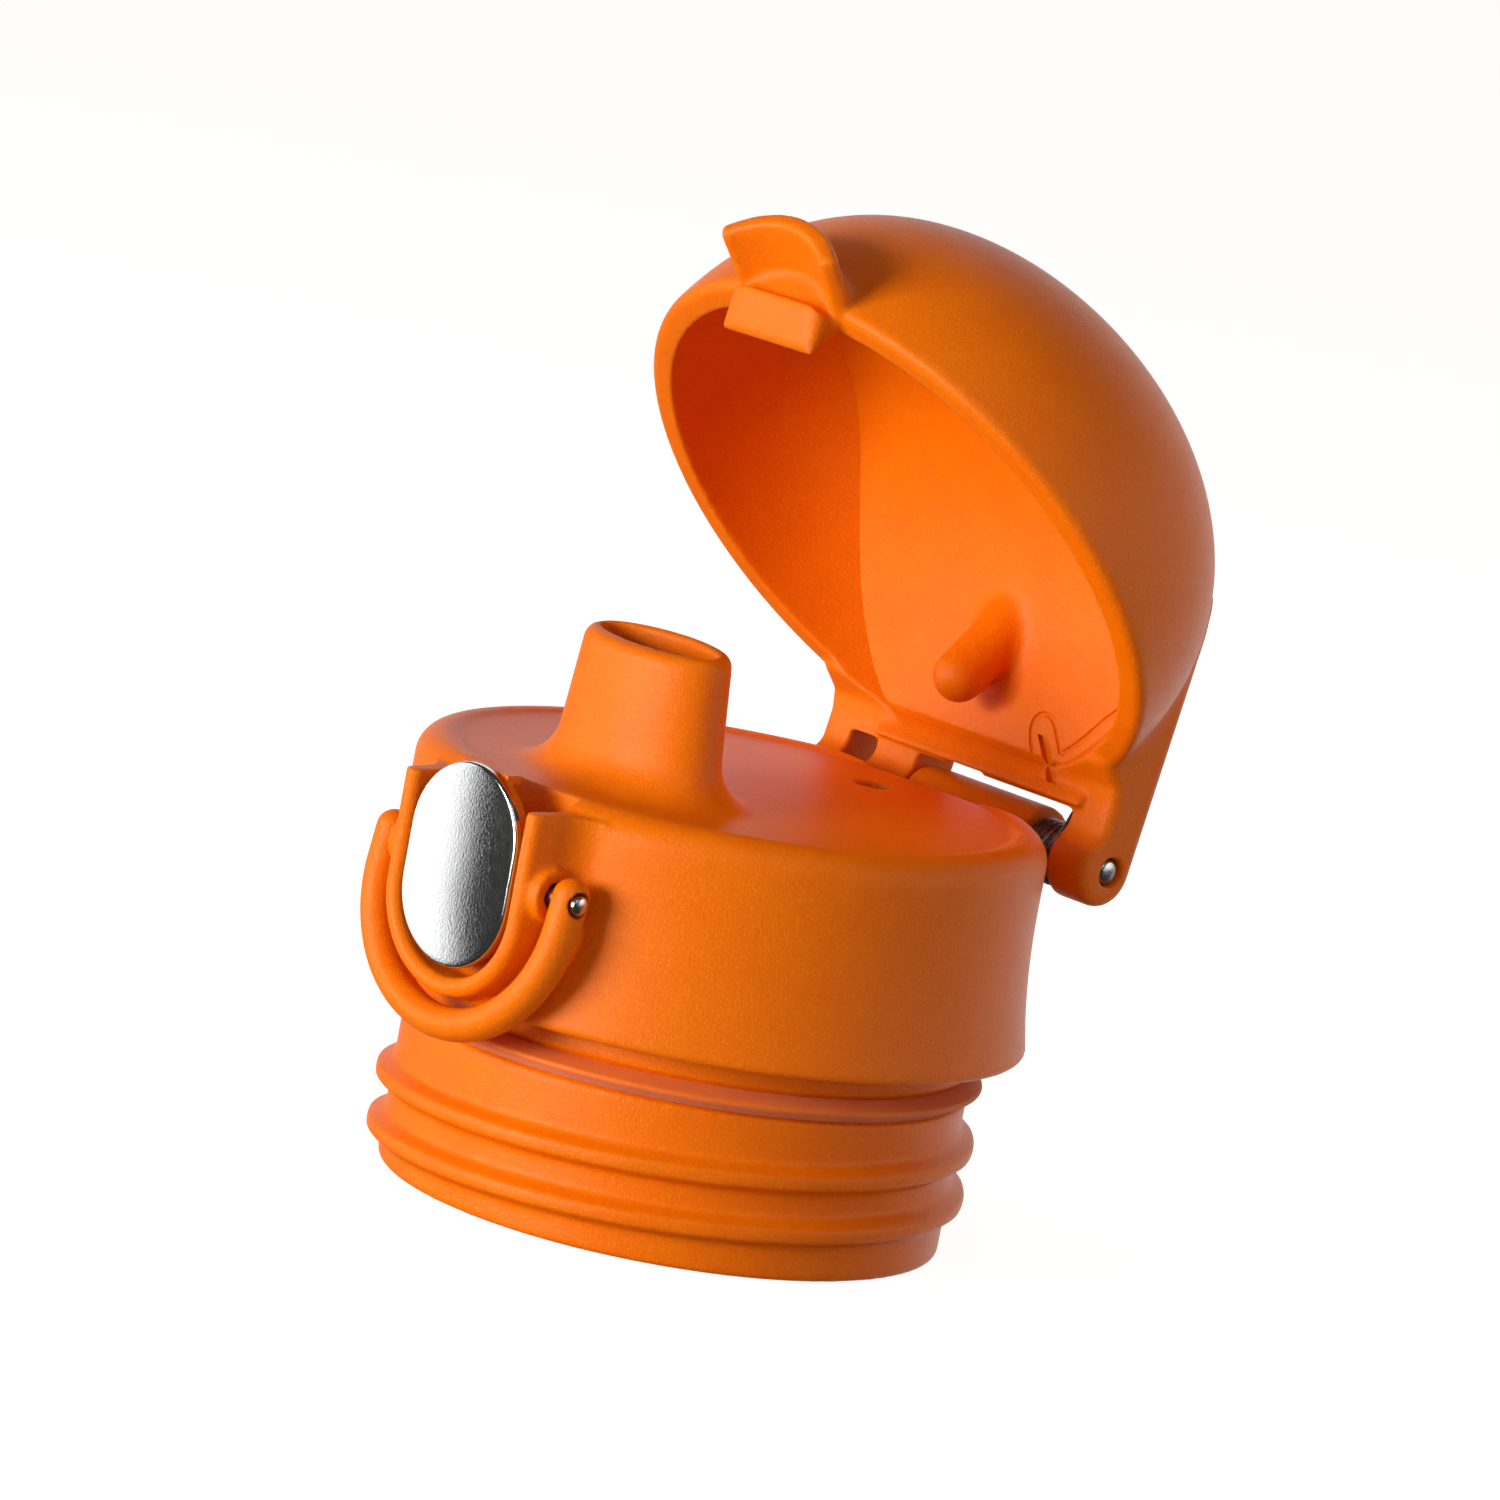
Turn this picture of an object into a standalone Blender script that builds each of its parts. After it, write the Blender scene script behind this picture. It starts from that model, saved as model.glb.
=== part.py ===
"""Flip top cap for a wide-mouth drinks bottle, its lid half open.

Frame: metres, +Z up along the neck's axis, origin on that axis at the collar's bottom face.
The press button faces -Y and the lid hinges at the back, +Y, about an axis along X.
Lid pieces are modelled closed, about the hinge axis, and an empty there turns them open.
"""
import math

import bmesh
import bpy
from mathutils import Matrix, Vector

# Driving dimensions, in metres unless a name ends in deg, share, shares, power, turns or steps
# Clearances between neighbours and what cutters run past a face
GAP = 0.0003
OVERRUN = 0.0040
WELD = 0.0000005

# Neck collar, its thread and its seal; the neck's radius sets the size of the whole cap
NECK_RADIUS = 0.02885
NECK_WALL = 0.00245
NECK_BORE_RADIUS = NECK_RADIUS - NECK_WALL
NECK_HEIGHT = 0.0216
NECK_EDGE = 0.0003
FLANGE_THICKNESS = 0.0024
THREAD_HEIGHT = 0.00165
THREAD_RADIUS = NECK_RADIUS + THREAD_HEIGHT
THREAD_PITCH = 0.0054
THREAD_CREST = 0.0013
THREAD_ROOT = 0.0033
THREAD_START_Z = 0.0025
THREAD_START_DEG = 174.0
THREAD_TURNS = 1.78
THREAD_RUNOUT_DEG = 42.0
THREAD_RUNOUT_SHARE = 0.0033
THREAD_BITE = 0.0003
SEAL_PROUD = 0.00135
SEAL_RADIUS = NECK_RADIUS + SEAL_PROUD
SEAL_DROP = 0.0040
SEAL_Z = NECK_HEIGHT - SEAL_DROP
SEAL_CREST = 0.0008
SEAL_ROOT = 0.0022
SEAL_GROOVE_DEPTH = 0.0007

# Body shell, whose skirt stands out round the neck
SKIRT_REACH = 0.00505
SKIRT_RADIUS = NECK_RADIUS + SKIRT_REACH
SKIRT_BOTTOM_Z = NECK_HEIGHT
SKIRT_HEIGHT = 0.0224
SKIRT_EDGE = 0.0005
SKIRT_WALL = 0.0027
FLARE_REACH = 0.0016
FLARE_HEIGHT = 0.0164
FLARE_TOP_Z = SKIRT_BOTTOM_Z + FLARE_HEIGHT
FLARE_POWER = 2.3
BODY_RADIUS = SKIRT_RADIUS - FLARE_REACH
BODY_WALL = 0.0026
CHAMBER_RADIUS = BODY_RADIUS - BODY_WALL
DECK_Z = SKIRT_BOTTOM_Z + SKIRT_HEIGHT
DECK_WALL = 0.0026
DECK_FILLET = 0.0028
DISH_INSET = 0.0039
DISH_RADIUS = BODY_RADIUS - DISH_INSET
DISH_DEPTH = 0.0003
DISH_STEP = 0.0004

# Drinking spout and vent, placed from the body's side
SPOUT_INSET = 0.01795
SPOUT_Y = SPOUT_INSET - BODY_RADIUS
SPOUT_HEIGHT = 0.0142
SPOUT_TOP_Z = DECK_Z + SPOUT_HEIGHT
SPOUT_TOP_HALF_X = 0.0090
SPOUT_SPREAD = 0.0014
SPOUT_FOOT_HALF_X = SPOUT_TOP_HALF_X + SPOUT_SPREAD
SPOUT_DEPTH_SHARE = 0.60
SPOUT_SLOPE_SHARE = 0.07
SPOUT_LIP = 0.0010
SPOUT_FILLET = 0.0042
SPOUT_SIDE_WALL = 0.0017
SPOUT_FRONT_WALL = 0.0022
SPOUT_FOOT_SIDE_WALL = 0.0022
SPOUT_FOOT_FRONT_WALL = 0.00204
SPOUT_BORE_HALF_X = SPOUT_TOP_HALF_X - SPOUT_SIDE_WALL
SPOUT_BORE_HALF_Y = SPOUT_TOP_HALF_X * SPOUT_DEPTH_SHARE - SPOUT_FRONT_WALL
SPOUT_BORE_FOOT_HALF_X = SPOUT_FOOT_HALF_X - SPOUT_FOOT_SIDE_WALL
SPOUT_BORE_FOOT_HALF_Y = SPOUT_FOOT_HALF_X * SPOUT_DEPTH_SHARE - SPOUT_FOOT_FRONT_WALL
VENT_INSET = 0.0126
VENT_Y = BODY_RADIUS - VENT_INSET
VENT_RADIUS = 0.0015

# Lid, in its closed place over the deck, high enough for the plug over the spout
LID_OPEN_DEG = 48.8
LID_OVERHANG = 0.0003
LID_RADIUS = BODY_RADIUS + LID_OVERHANG
LID_REVEAL = 0.0008
LID_RIM_Z = DECK_Z + LID_REVEAL
PLUG_HEIGHT = 0.0049
LINER_PEAK_Z = SPOUT_TOP_Z + PLUG_HEIGHT
LINER_PEAK_DROP = 0.0102
LID_HEIGHT = LINER_PEAK_Z - LID_RIM_Z + LINER_PEAK_DROP
LID_POWER = 2.34
LID_RIM_WALL = 0.0030
LID_CROWN_WALL = 0.0028
LID_RIM_EDGE = 0.0010

# Latch axis, which the button and the bail share: in front of the body and under the deck
LATCH_STANDOFF = 0.0007
LATCH_DROP = 0.0091
LATCH_Y = -BODY_RADIUS - LATCH_STANDOFF
LATCH_Z = DECK_Z - LATCH_DROP
LATCH_PIN_RADIUS = 0.0010
PIN_DOME = 0.0003
PIN_END_RADIUS_SHARE = 0.7
PIN_DOME_RADIUS_SHARE = 0.92

# Latch housing, its depths measured from the latch axis
HOUSING_HALF_X = 0.0099
HOUSING_FOOT_RISE = 0.0004
HOUSING_LOW_Z = SKIRT_BOTTOM_Z + HOUSING_FOOT_RISE + HOUSING_HALF_X
HOUSING_TOP_DROP = 0.0013
HOUSING_TOP_Z = DECK_Z - HOUSING_TOP_DROP
HOUSING_REACH = 0.0034
HOUSING_FRONT_Y = LATCH_Y - HOUSING_REACH
HOUSING_LIP = 0.0010
HOUSING_EASE = 0.0006
HOUSING_FAIRING = 0.0042
HOUSING_DRAFT = 0.0004
HOUSING_WALL = 0.00195
HOUSING_DEPTH = 0.0024
HOUSING_BACK_Y = LATCH_Y + HOUSING_DEPTH
HOUSING_SILL_DEPTH = 0.0010
HOUSING_SILL_Y = LATCH_Y + HOUSING_SILL_DEPTH
HOUSING_SILL_DROP = 0.0087
HOUSING_SILL_Z = LATCH_Z - HOUSING_SILL_DROP
HOUSING_FLOOR_RISE = 0.00025
HOUSING_FLOOR_Z = SKIRT_BOTTOM_Z + HOUSING_FLOOR_RISE
BACKING_MARGIN = 0.0005
BACKING_HALF_X = HOUSING_HALF_X + BACKING_MARGIN
BACKING_DEPTH = 0.0057
BACKING_Y = LATCH_Y + BACKING_DEPTH
BACKING_RISE = 0.0036
BACKING_LOW_Z = SKIRT_BOTTOM_Z + BACKING_RISE
CATCH_POCKET_DEPTH = 0.0039
CATCH_POCKET_Y = LATCH_Y + CATCH_POCKET_DEPTH
CATCH_POCKET_DROP = 0.0054
CATCH_POCKET_Z = DECK_Z - CATCH_POCKET_DROP

# Catch under the lid's front, its depths measured from the latch axis, and the hook over its ledge
CATCH_MARGIN = 0.00145
CATCH_HALF_X = HOUSING_HALF_X - HOUSING_WALL - CATCH_MARGIN
CATCH_NOSE_REACH = 0.0007
CATCH_NOSE_Y = LATCH_Y - CATCH_NOSE_REACH
CATCH_NOSE_DROP = 0.0011
CATCH_NOSE_Z = LID_RIM_Z - CATCH_NOSE_DROP
CATCH_LOW_DEPTH = 0.0026
CATCH_LOW_Y = LATCH_Y + CATCH_LOW_DEPTH
CATCH_LOW_DROP = 0.0047
CATCH_LOW_Z = LID_RIM_Z - CATCH_LOW_DROP
CATCH_BACK_DEPTH = 0.0035
CATCH_BACK_Y = LATCH_Y + CATCH_BACK_DEPTH
CATCH_NECK_DEPTH = 0.0007
CATCH_NECK_Y = LATCH_Y + CATCH_NECK_DEPTH
CATCH_LEDGE = 0.00015
CATCH_CORNER = 0.0018
CATCH_LOW_ROUND = 0.0005
HOOK_CLEARANCE = 0.00025
HOOK_Z = CATCH_NOSE_Z + CATCH_LEDGE + HOOK_CLEARANCE
HOOK_HALF_X = 0.0034
HOOK_HEIGHT = 0.0009
HOOK_DEPTH = 0.0001
HOOK_TIP_Y = LATCH_Y + HOOK_DEPTH

# Press button: a polished plate on a rocker that fits the housing
PLATE_MARGIN = 0.00035
PLATE_HALF_X = HOUSING_HALF_X - HOUSING_WALL - PLATE_MARGIN
PLATE_REACH = 0.0031
PLATE_FRONT_Y = LATCH_Y - PLATE_REACH
PLATE_FOOT_GAP = 0.00098
PLATE_LOW_Z = HOUSING_LOW_Z - HOUSING_HALF_X + HOUSING_WALL + PLATE_FOOT_GAP + PLATE_HALF_X
ROCKER_INSET = 0.0004
ROCKER_HALF_X = PLATE_HALF_X - ROCKER_INSET
ROCKER_TOP_DROP = 0.00004
PLATE_HIGH_Z = HOOK_Z + HOOK_HEIGHT - ROCKER_TOP_DROP - ROCKER_HALF_X
PLATE_THICKNESS = 0.0007
PLATE_CROWN = 0.0003
PLATE_CROWN_SHARES = ((0.7, 0.4), (1.0, 0.75))
PLATE_EDGE = 0.0003
ROCKER_THICKNESS = 0.0011
ROCKER_BOSS_RADIUS = 0.0019
ROCKER_BOSS_HALF_X = ROCKER_HALF_X
BUTTON_SPRING_RISE = 0.00347
BUTTON_SPRING_Z = PLATE_LOW_Z - PLATE_HALF_X + BUTTON_SPRING_RISE
BUTTON_SPRING_RADIUS = 0.0014
BUTTON_SPRING_WIRE = 0.0002
BUTTON_SPRING_TURNS = 4.0

# Bail, which swings outside the housing
BAIL_SPREAD = 0.0032
BAIL_HALF_X = HOUSING_HALF_X + BAIL_SPREAD
BAIL_FOOT_GAP = 0.0028
BAIL_DROP = LATCH_Z - HOUSING_LOW_Z + BAIL_FOOT_GAP - BAIL_SPREAD
BAIL_HALF_WIDTH = 0.0017
BAIL_HALF_DEPTH = 0.0020
BAIL_END = 0.0024
BAIL_TILT_DEG = -7.8
BAIL_BOSS_RADIUS = 0.0027
LATCH_PIN_PROUD = 0.00005
LATCH_PIN_HALF_X = BAIL_HALF_X + BAIL_HALF_WIDTH + LATCH_PIN_PROUD

# Hinge axis, behind the body and under the deck, and the lid's arms that straddle the knuckle
HINGE_STANDOFF = 0.00245
HINGE_DROP = 0.00424
HINGE_Y = BODY_RADIUS + HINGE_STANDOFF
HINGE_Z = DECK_Z - HINGE_DROP
ARM_HALF_X = 0.0210
ARM_WIDTH = 0.0041
ARM_RADIUS = 0.0038
ARM_TIP_OFFSET = 0.0004
ARM_BARREL_START_DEG = 38.0
ARM_BARREL_END_DEG = -195.0
ARM_HEEL_INSET = 0.00615
ARM_HEEL_Y = HINGE_Y - ARM_HEEL_INSET
ARM_HEEL_DROP = 0.0018
ARM_HEEL_Z = LID_RIM_Z - ARM_HEEL_DROP
ARM_ROOT_INSET = 0.00785
ARM_ROOT_Y = HINGE_Y - ARM_ROOT_INSET
ARM_ROOT_DROP = 0.0006
ARM_TOP_INSET = 0.01345
ARM_TOP_Y = HINGE_Y - ARM_TOP_INSET
ARM_TOP_RISE = 0.0172
ARM_TOP_Z = LID_RIM_Z + ARM_TOP_RISE
ARM_EDGE = 0.0010
HINGE_PIN_RADIUS = 0.00125
HINGE_PIN_INSET = 0.0003
HINGE_PIN_HALF_X = ARM_HALF_X - HINGE_PIN_INSET

# Knuckle on the body's back, and the ledge cut into the deck in front of it
REAR_CHORD_INSET = 0.0050
REAR_CHORD_Y = BODY_RADIUS - REAR_CHORD_INSET
REAR_CHORD_DROP = 0.0030
REAR_CHORD_Z = DECK_Z - REAR_CHORD_DROP
REAR_CHORD_MARGIN = 0.0001
REAR_CHORD_HALF_X = ARM_HALF_X - ARM_WIDTH - REAR_CHORD_MARGIN
KNUCKLE_RADIUS = 0.0043
KNUCKLE_END_DEG = -70.0
KNUCKLE_LEFT_X = -0.0065
KNUCKLE_RIGHT_X = 0.0108
KNUCKLE_FOOT_INSET = 0.00645
KNUCKLE_FOOT_Y = HINGE_Y - KNUCKLE_FOOT_INSET
KNUCKLE_FOOT_DROP = 0.00676
KNUCKLE_FOOT_Z = HINGE_Z - KNUCKLE_FOOT_DROP
KNUCKLE_TOP_PROUD = 0.0001
KNUCKLE_TOP_Z = REAR_CHORD_Z + KNUCKLE_TOP_PROUD
LUG_GAP = 0.0004
LUG_WIDTH = 0.0060
LUG_RIGHT_X = KNUCKLE_LEFT_X - LUG_GAP
LUG_LEFT_X = LUG_RIGHT_X - LUG_WIDTH
LUG_NOTCH_RADIUS = 0.0048

# Web and block across the lid's back, above the hinge
WEB_FRONT_INSET = 0.00665
WEB_FRONT_Y = HINGE_Y - WEB_FRONT_INSET
WEB_THICKNESS = 0.0014
WEB_BACK_Y = WEB_FRONT_Y + WEB_THICKNESS
WEB_DROP = 0.0032
WEB_LOW_Z = LID_RIM_Z - WEB_DROP
WEB_SLOPE = 0.0010
REAR_BLOCK_RISE = 0.0057
REAR_BLOCK_TOP_Z = LID_RIM_Z + REAR_BLOCK_RISE
WINDOW_RISE = 0.0042
WINDOW_TOP_Z = LID_RIM_Z + WINDOW_RISE

# Torsion spring between the knuckle and the right arm
LID_SPRING_RADIUS = 0.0030
LID_SPRING_WIRE = 0.00035
LID_SPRING_TURNS = 5.0
LID_SPRING_START_DEG = 150.0
LID_SPRING_LEFT_GAP = 0.0006
LID_SPRING_LEFT_X = KNUCKLE_RIGHT_X + LID_SPRING_LEFT_GAP
LID_SPRING_RIGHT_GAP = 0.0006
LID_SPRING_RIGHT_X = ARM_HALF_X - ARM_WIDTH - LID_SPRING_RIGHT_GAP
LID_LEG_GAP = 0.0007
LID_LEG_Y = WEB_BACK_Y + LID_LEG_GAP
LID_LEG_DROP = 0.0008
LID_LEG_LOW_Z = LID_RIM_Z - LID_LEG_DROP
LID_LEG_RISE = 0.0036
LID_LEG_TOP_Z = LID_RIM_Z + LID_LEG_RISE
BODY_LEG_INSET = 0.00575
BODY_LEG_Y = HINGE_Y - BODY_LEG_INSET
BODY_LEG_DROP = 0.00636
BODY_LEG_Z = HINGE_Z - BODY_LEG_DROP

# Liner, vaulted from the dome's front down to its rim at the back
LINER_PEAK_Y = -0.0015
LINER_REAR_INSET = 0.0060
LINER_REAR_Y = LID_RADIUS - LINER_REAR_INSET
LINER_FRONT_INSET = 0.0111
LINER_FRONT_Y = LINER_FRONT_INSET - LID_RADIUS
LINER_THICKNESS = 0.0018
NUB_RADIUS = 0.0026
NUB_RISE = 0.0019
NUB_Z = DECK_Z + NUB_RISE
NUB_TOP_DROP = 0.0061
NUB_TOP_Z = LINER_PEAK_Z - NUB_TOP_DROP
NUB_FLARE = 0.0018
NUB_LEVEL_SHARES = (0.4, 0.7, 0.85, 1.0)
LEG_SLOT_OFFSET = 0.0009
LEG_SLOT_X = LID_SPRING_LEFT_X - LEG_SLOT_OFFSET
LEG_SLOT_HALF_X = 0.00055
LEG_SLOT_DEPTH = 0.0028
LEG_SLOT_Y = WEB_FRONT_Y - LEG_SLOT_DEPTH
LEG_SLOT_RISE = 0.0026
LEG_SLOT_Z = LID_RIM_Z + LEG_SLOT_RISE
PLUG_SIDE_OVERLAP = 0.0005
PLUG_HALF_X = SPOUT_BORE_HALF_X + PLUG_SIDE_OVERLAP
PLUG_FRONT_OVERLAP = 0.0010
PLUG_HALF_Y = SPOUT_BORE_HALF_Y + PLUG_FRONT_OVERLAP
PLUG_EDGE = 0.0006
PLUG_STEM = 0.0012

# Thumb visor, which closes the top of the housing's U
VISOR_DROP = 0.0070
VISOR_CENTRE_Z = LID_RIM_Z - VISOR_DROP
VISOR_SPREAD = 0.0020
VISOR_RADIUS = HOUSING_HALF_X + VISOR_SPREAD
VISOR_WALL = 0.0020
VISOR_REACH = 0.0058
VISOR_FRONT_Y = LATCH_Y - VISOR_REACH
VISOR_DEPTH = 0.0030
VISOR_BACK_Y = LATCH_Y + VISOR_DEPTH
VISOR_DROOP = 0.0007
VISOR_SWEEP = 0.0017
VISOR_EDGE = 0.0006
VISOR_HALF_DEG = 45.0

# Facets
ROUND_STEPS = 72
THREAD_STEPS_SHARE = 0.75
DOME_STEPS = 12
COIL_STEPS = 12
WIRE_STEPS = 6
SMALL_STEPS = 24
ARC_STEPS = 8
SMOOTH_DEG = 32.0

# Colours and finishes: base colour, roughness, metallic
ORANGE = ((0.86, 0.17, 0.006, 1.0), 0.46, 0.0)
SILICONE = ((0.82, 0.15, 0.006, 1.0), 0.62, 0.0)
POLISHED = ((0.86, 0.86, 0.87, 1.0), 0.16, 1.0)
STEEL = ((0.58, 0.58, 0.60, 1.0), 0.28, 1.0)
SPRING_STEEL = ((0.42, 0.42, 0.44, 1.0), 0.34, 1.0)

LATCH_AXIS = Vector((0.0, LATCH_Y, LATCH_Z))
HINGE_AXIS = Vector((0.0, HINGE_Y, HINGE_Z))


def clear_scene():
    """Remove every object that the file opened with."""
    for item in list(bpy.data.objects):
        bpy.data.objects.remove(item, do_unlink=True)


def make_material(name, finish):
    """Return a Principled material with one colour, roughness and metallic value."""
    colour, roughness, metallic = finish
    material = bpy.data.materials.new(name)
    material.use_nodes = True
    shader = material.node_tree.nodes["Principled BSDF"]
    shader.inputs["Base Color"].default_value = colour
    shader.inputs["Roughness"].default_value = roughness
    shader.inputs["Metallic"].default_value = metallic
    return material


def make_pivot(name, place, turn_deg):
    """Return an empty on a joint axis along X, turned about that axis."""
    pivot = bpy.data.objects.new(name, None)
    pivot.location = place
    pivot.rotation_euler = (math.radians(turn_deg), 0.0, 0.0)
    bpy.context.scene.collection.objects.link(pivot)
    return pivot


def finish_object(name, bm, finish=None, pivot=None):
    """Make an object of a bmesh, closed and facing out, on its pivot if it has one."""
    bmesh.ops.remove_doubles(bm, verts=bm.verts, dist=WELD)
    bmesh.ops.recalc_face_normals(bm, faces=bm.faces)
    mesh = bpy.data.meshes.new(name)
    if pivot is not None:
        bm.transform(Matrix.Translation(-pivot.location))
    bm.to_mesh(mesh)
    bm.free()
    mesh.shade_smooth()
    mesh.set_sharp_from_angle(angle=math.radians(SMOOTH_DEG))
    item = bpy.data.objects.new(name, mesh)
    item.parent = pivot
    bpy.context.scene.collection.objects.link(item)
    if finish is not None:
        item.data.materials.append(make_material(name + "_finish", finish))
    return item


def combine(target, bm, operation, name):
    """Join a shape to an object, or cut it away, with an exact Boolean."""
    tool = finish_object(name, bm)
    tool.parent = target.parent
    if target.parent is not None:
        tool.data.transform(Matrix.Translation(-target.parent.location))
    tool.hide_render = True
    tool.display_type = "WIRE"
    modifier = target.modifiers.new(name, "BOOLEAN")
    modifier.operation = operation
    modifier.solver = "EXACT"
    modifier.object = tool
    return tool


def add_edge_round(item, width, segments=3, angle_deg=40.0):
    """Round an object's own sharp edges."""
    modifier = item.modifiers.new("edge_round", "BEVEL")
    modifier.width = width
    modifier.segments = segments
    modifier.limit_method = "ANGLE"
    modifier.angle_limit = math.radians(angle_deg)
    modifier.harden_normals = False
    return modifier


def arc_points(centre, radius, start_deg, end_deg, steps=ARC_STEPS):
    """Return the points of an arc, both ends included."""
    points = []
    for index in range(steps + 1):
        angle = math.radians(start_deg + (end_deg - start_deg) * index / steps)
        points.append((centre[0] + radius * math.cos(angle), centre[1] + radius * math.sin(angle)))
    return points


def lathe(profile, steps=ROUND_STEPS):
    """Turn a closed (radius, z) outline about Z and return the bmesh."""
    bm = bmesh.new()
    verts = [bm.verts.new((radius, 0.0, z)) for radius, z in profile]
    edges = [bm.edges.new((verts[index - 1], verts[index])) for index in range(1, len(verts))]
    if profile[0][0] > 0.0:
        edges.append(bm.edges.new((verts[-1], verts[0])))
    bmesh.ops.spin(bm, geom=verts + edges, cent=(0.0, 0.0, 0.0), axis=(0.0, 0.0, 1.0),
                   angle=math.tau, steps=steps, use_merge=True)
    bmesh.ops.remove_doubles(bm, verts=bm.verts, dist=WELD)
    return bm


def loft(rings):
    """Skin a list of closed rings of equal length and cap both ends."""
    bm = bmesh.new()
    loops = [[bm.verts.new(point) for point in ring] for ring in rings]
    for lower, upper in zip(loops, loops[1:]):
        for index, vert in enumerate(lower):
            bm.faces.new((lower[index - 1], vert, upper[index], upper[index - 1]))
    bm.faces.new(loops[0])
    bm.faces.new(loops[-1])
    return bm


def along_x(outline, x_low, x_high):
    """Extrude a (y, z) outline along X."""
    return loft([[(x, y, z) for y, z in outline] for x in (x_low, x_high)])


def along_y(outline, y_low, y_high):
    """Extrude an (x, z) outline along Y."""
    return loft([[(x, y, z) for x, z in outline] for y in (y_low, y_high)])


def along_z(outline, z_low, z_high):
    """Extrude an (x, y) outline along Z."""
    return loft([[(x, y, z) for x, y in outline] for z in (z_low, z_high)])


def box(x_low, x_high, y_low, y_high, z_low, z_high):
    """Return a box between its limits."""
    outline = [(x_low, y_low), (x_high, y_low), (x_high, y_high), (x_low, y_high)]
    return along_z(outline, z_low, z_high)


def rod_x(centre, radius, x_low, x_high, steps=SMALL_STEPS):
    """Return a cylinder along X about a (y, z) centre."""
    return along_x(arc_points(centre, radius, 0.0, 360.0, steps)[:-1], x_low, x_high)


def racetrack(half_x, low_z, high_z, steps=ARC_STEPS):
    """Return an upright (x, z) racetrack outline whose arcs centre on low_z and high_z."""
    top = arc_points((0.0, high_z), half_x, 0.0, 180.0, 2 * steps)
    bottom = arc_points((0.0, low_z), half_x, 180.0, 360.0, 2 * steps)
    return top + bottom


def u_outline(half_x, low_z, top_z, floor_z=None):
    """Return an (x, z) U outline with a flat top, its round bottom kept above floor_z."""
    points = [(half_x, top_z), (-half_x, top_z)]
    points += arc_points((0.0, low_z), half_x, 180.0, 360.0, 2 * ARC_STEPS)
    if floor_z is not None:
        points = [(x, max(z, floor_z)) for x, z in points]
    return points


def ellipse(half_x, half_y, centre_y, z, slope=0.0, steps=SMALL_STEPS * 2):
    """Return a ring of an ellipse at height z that rises with y by slope."""
    ring = []
    for index in range(steps):
        angle = math.tau * index / steps
        y = half_y * math.sin(angle)
        ring.append((half_x * math.cos(angle), centre_y + y, z + slope * y))
    return ring


def skirt_radius_at(z):
    """Return the skirt's outer radius, which flares towards its bottom."""
    if z >= FLARE_TOP_Z:
        return BODY_RADIUS
    share = (FLARE_TOP_Z - z) / (FLARE_TOP_Z - SKIRT_BOTTOM_Z)
    return BODY_RADIUS + (SKIRT_RADIUS - BODY_RADIUS) * share ** FLARE_POWER


def shell_profile():
    """Return the body's outline, from the deck's middle outwards, down and back inside."""
    dish_z = DECK_Z - DISH_DEPTH
    profile = [(0.0, dish_z), (DISH_RADIUS, dish_z), (DISH_RADIUS + DISH_STEP, DECK_Z)]
    profile += arc_points((BODY_RADIUS - DECK_FILLET, DECK_Z - DECK_FILLET), DECK_FILLET, 90.0, 0.0)
    flare_low = SKIRT_BOTTOM_Z + SKIRT_EDGE
    for index in range(ARC_STEPS + 1):
        z = FLARE_TOP_Z + (flare_low - FLARE_TOP_Z) * index / ARC_STEPS
        profile.append((skirt_radius_at(z), z))
    profile += [(SKIRT_RADIUS - SKIRT_EDGE, SKIRT_BOTTOM_Z), (CHAMBER_RADIUS, SKIRT_BOTTOM_Z)]
    profile += [(CHAMBER_RADIUS, DECK_Z - DECK_WALL), (0.0, DECK_Z - DECK_WALL)]
    return profile


def spout_straight_half_x(z):
    """Return the spout's tapering half width at height z, without its fillet."""
    share = (SPOUT_TOP_Z - z) / (SPOUT_TOP_Z - DECK_Z)
    return SPOUT_TOP_HALF_X + (SPOUT_FOOT_HALF_X - SPOUT_TOP_HALF_X) * share


def spout_half_x(z):
    """Return the spout's outer half width at height z, with the fillet into the deck."""
    half_x = spout_straight_half_x(z)
    rise = DECK_Z - DISH_DEPTH + SPOUT_FILLET - z
    if rise > 0.0:
        rise = min(rise, SPOUT_FILLET)
        half_x += SPOUT_FILLET - math.sqrt(SPOUT_FILLET ** 2 - rise ** 2)
    return half_x


def spout_solid():
    """Return the tapered oval spout, wide at its foot and rounded at its lip."""
    rings = []
    foot_z = DECK_Z - DISH_DEPTH
    levels = [foot_z - DECK_WALL * 0.5, foot_z]
    levels += [foot_z + SPOUT_FILLET * (1.0 - math.cos(math.radians(angle))) for angle in (18, 36, 54, 72, 90)]
    levels += [SPOUT_TOP_Z - SPOUT_LIP]
    for z in levels:
        rise_share = (z - foot_z - SPOUT_FILLET) / (SPOUT_TOP_Z - foot_z - SPOUT_FILLET)
        slope = SPOUT_SLOPE_SHARE * max(0.0, rise_share)
        spread = spout_half_x(max(z, foot_z))
        straight = spout_straight_half_x(max(z, foot_z))
        half_y = straight * SPOUT_DEPTH_SHARE + (spread - straight)
        rings.append(ellipse(spread, half_y, SPOUT_Y, z, slope))
    for angle in (30, 60, 90):
        inset = SPOUT_LIP * (1.0 - math.cos(math.radians(angle)))
        z = SPOUT_TOP_Z - SPOUT_LIP * (1.0 - math.sin(math.radians(angle)))
        half_x = SPOUT_TOP_HALF_X - inset
        half_y = SPOUT_TOP_HALF_X * SPOUT_DEPTH_SHARE - inset
        rings.append(ellipse(half_x, half_y, SPOUT_Y, z, SPOUT_SLOPE_SHARE))
    return loft(rings)


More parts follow.
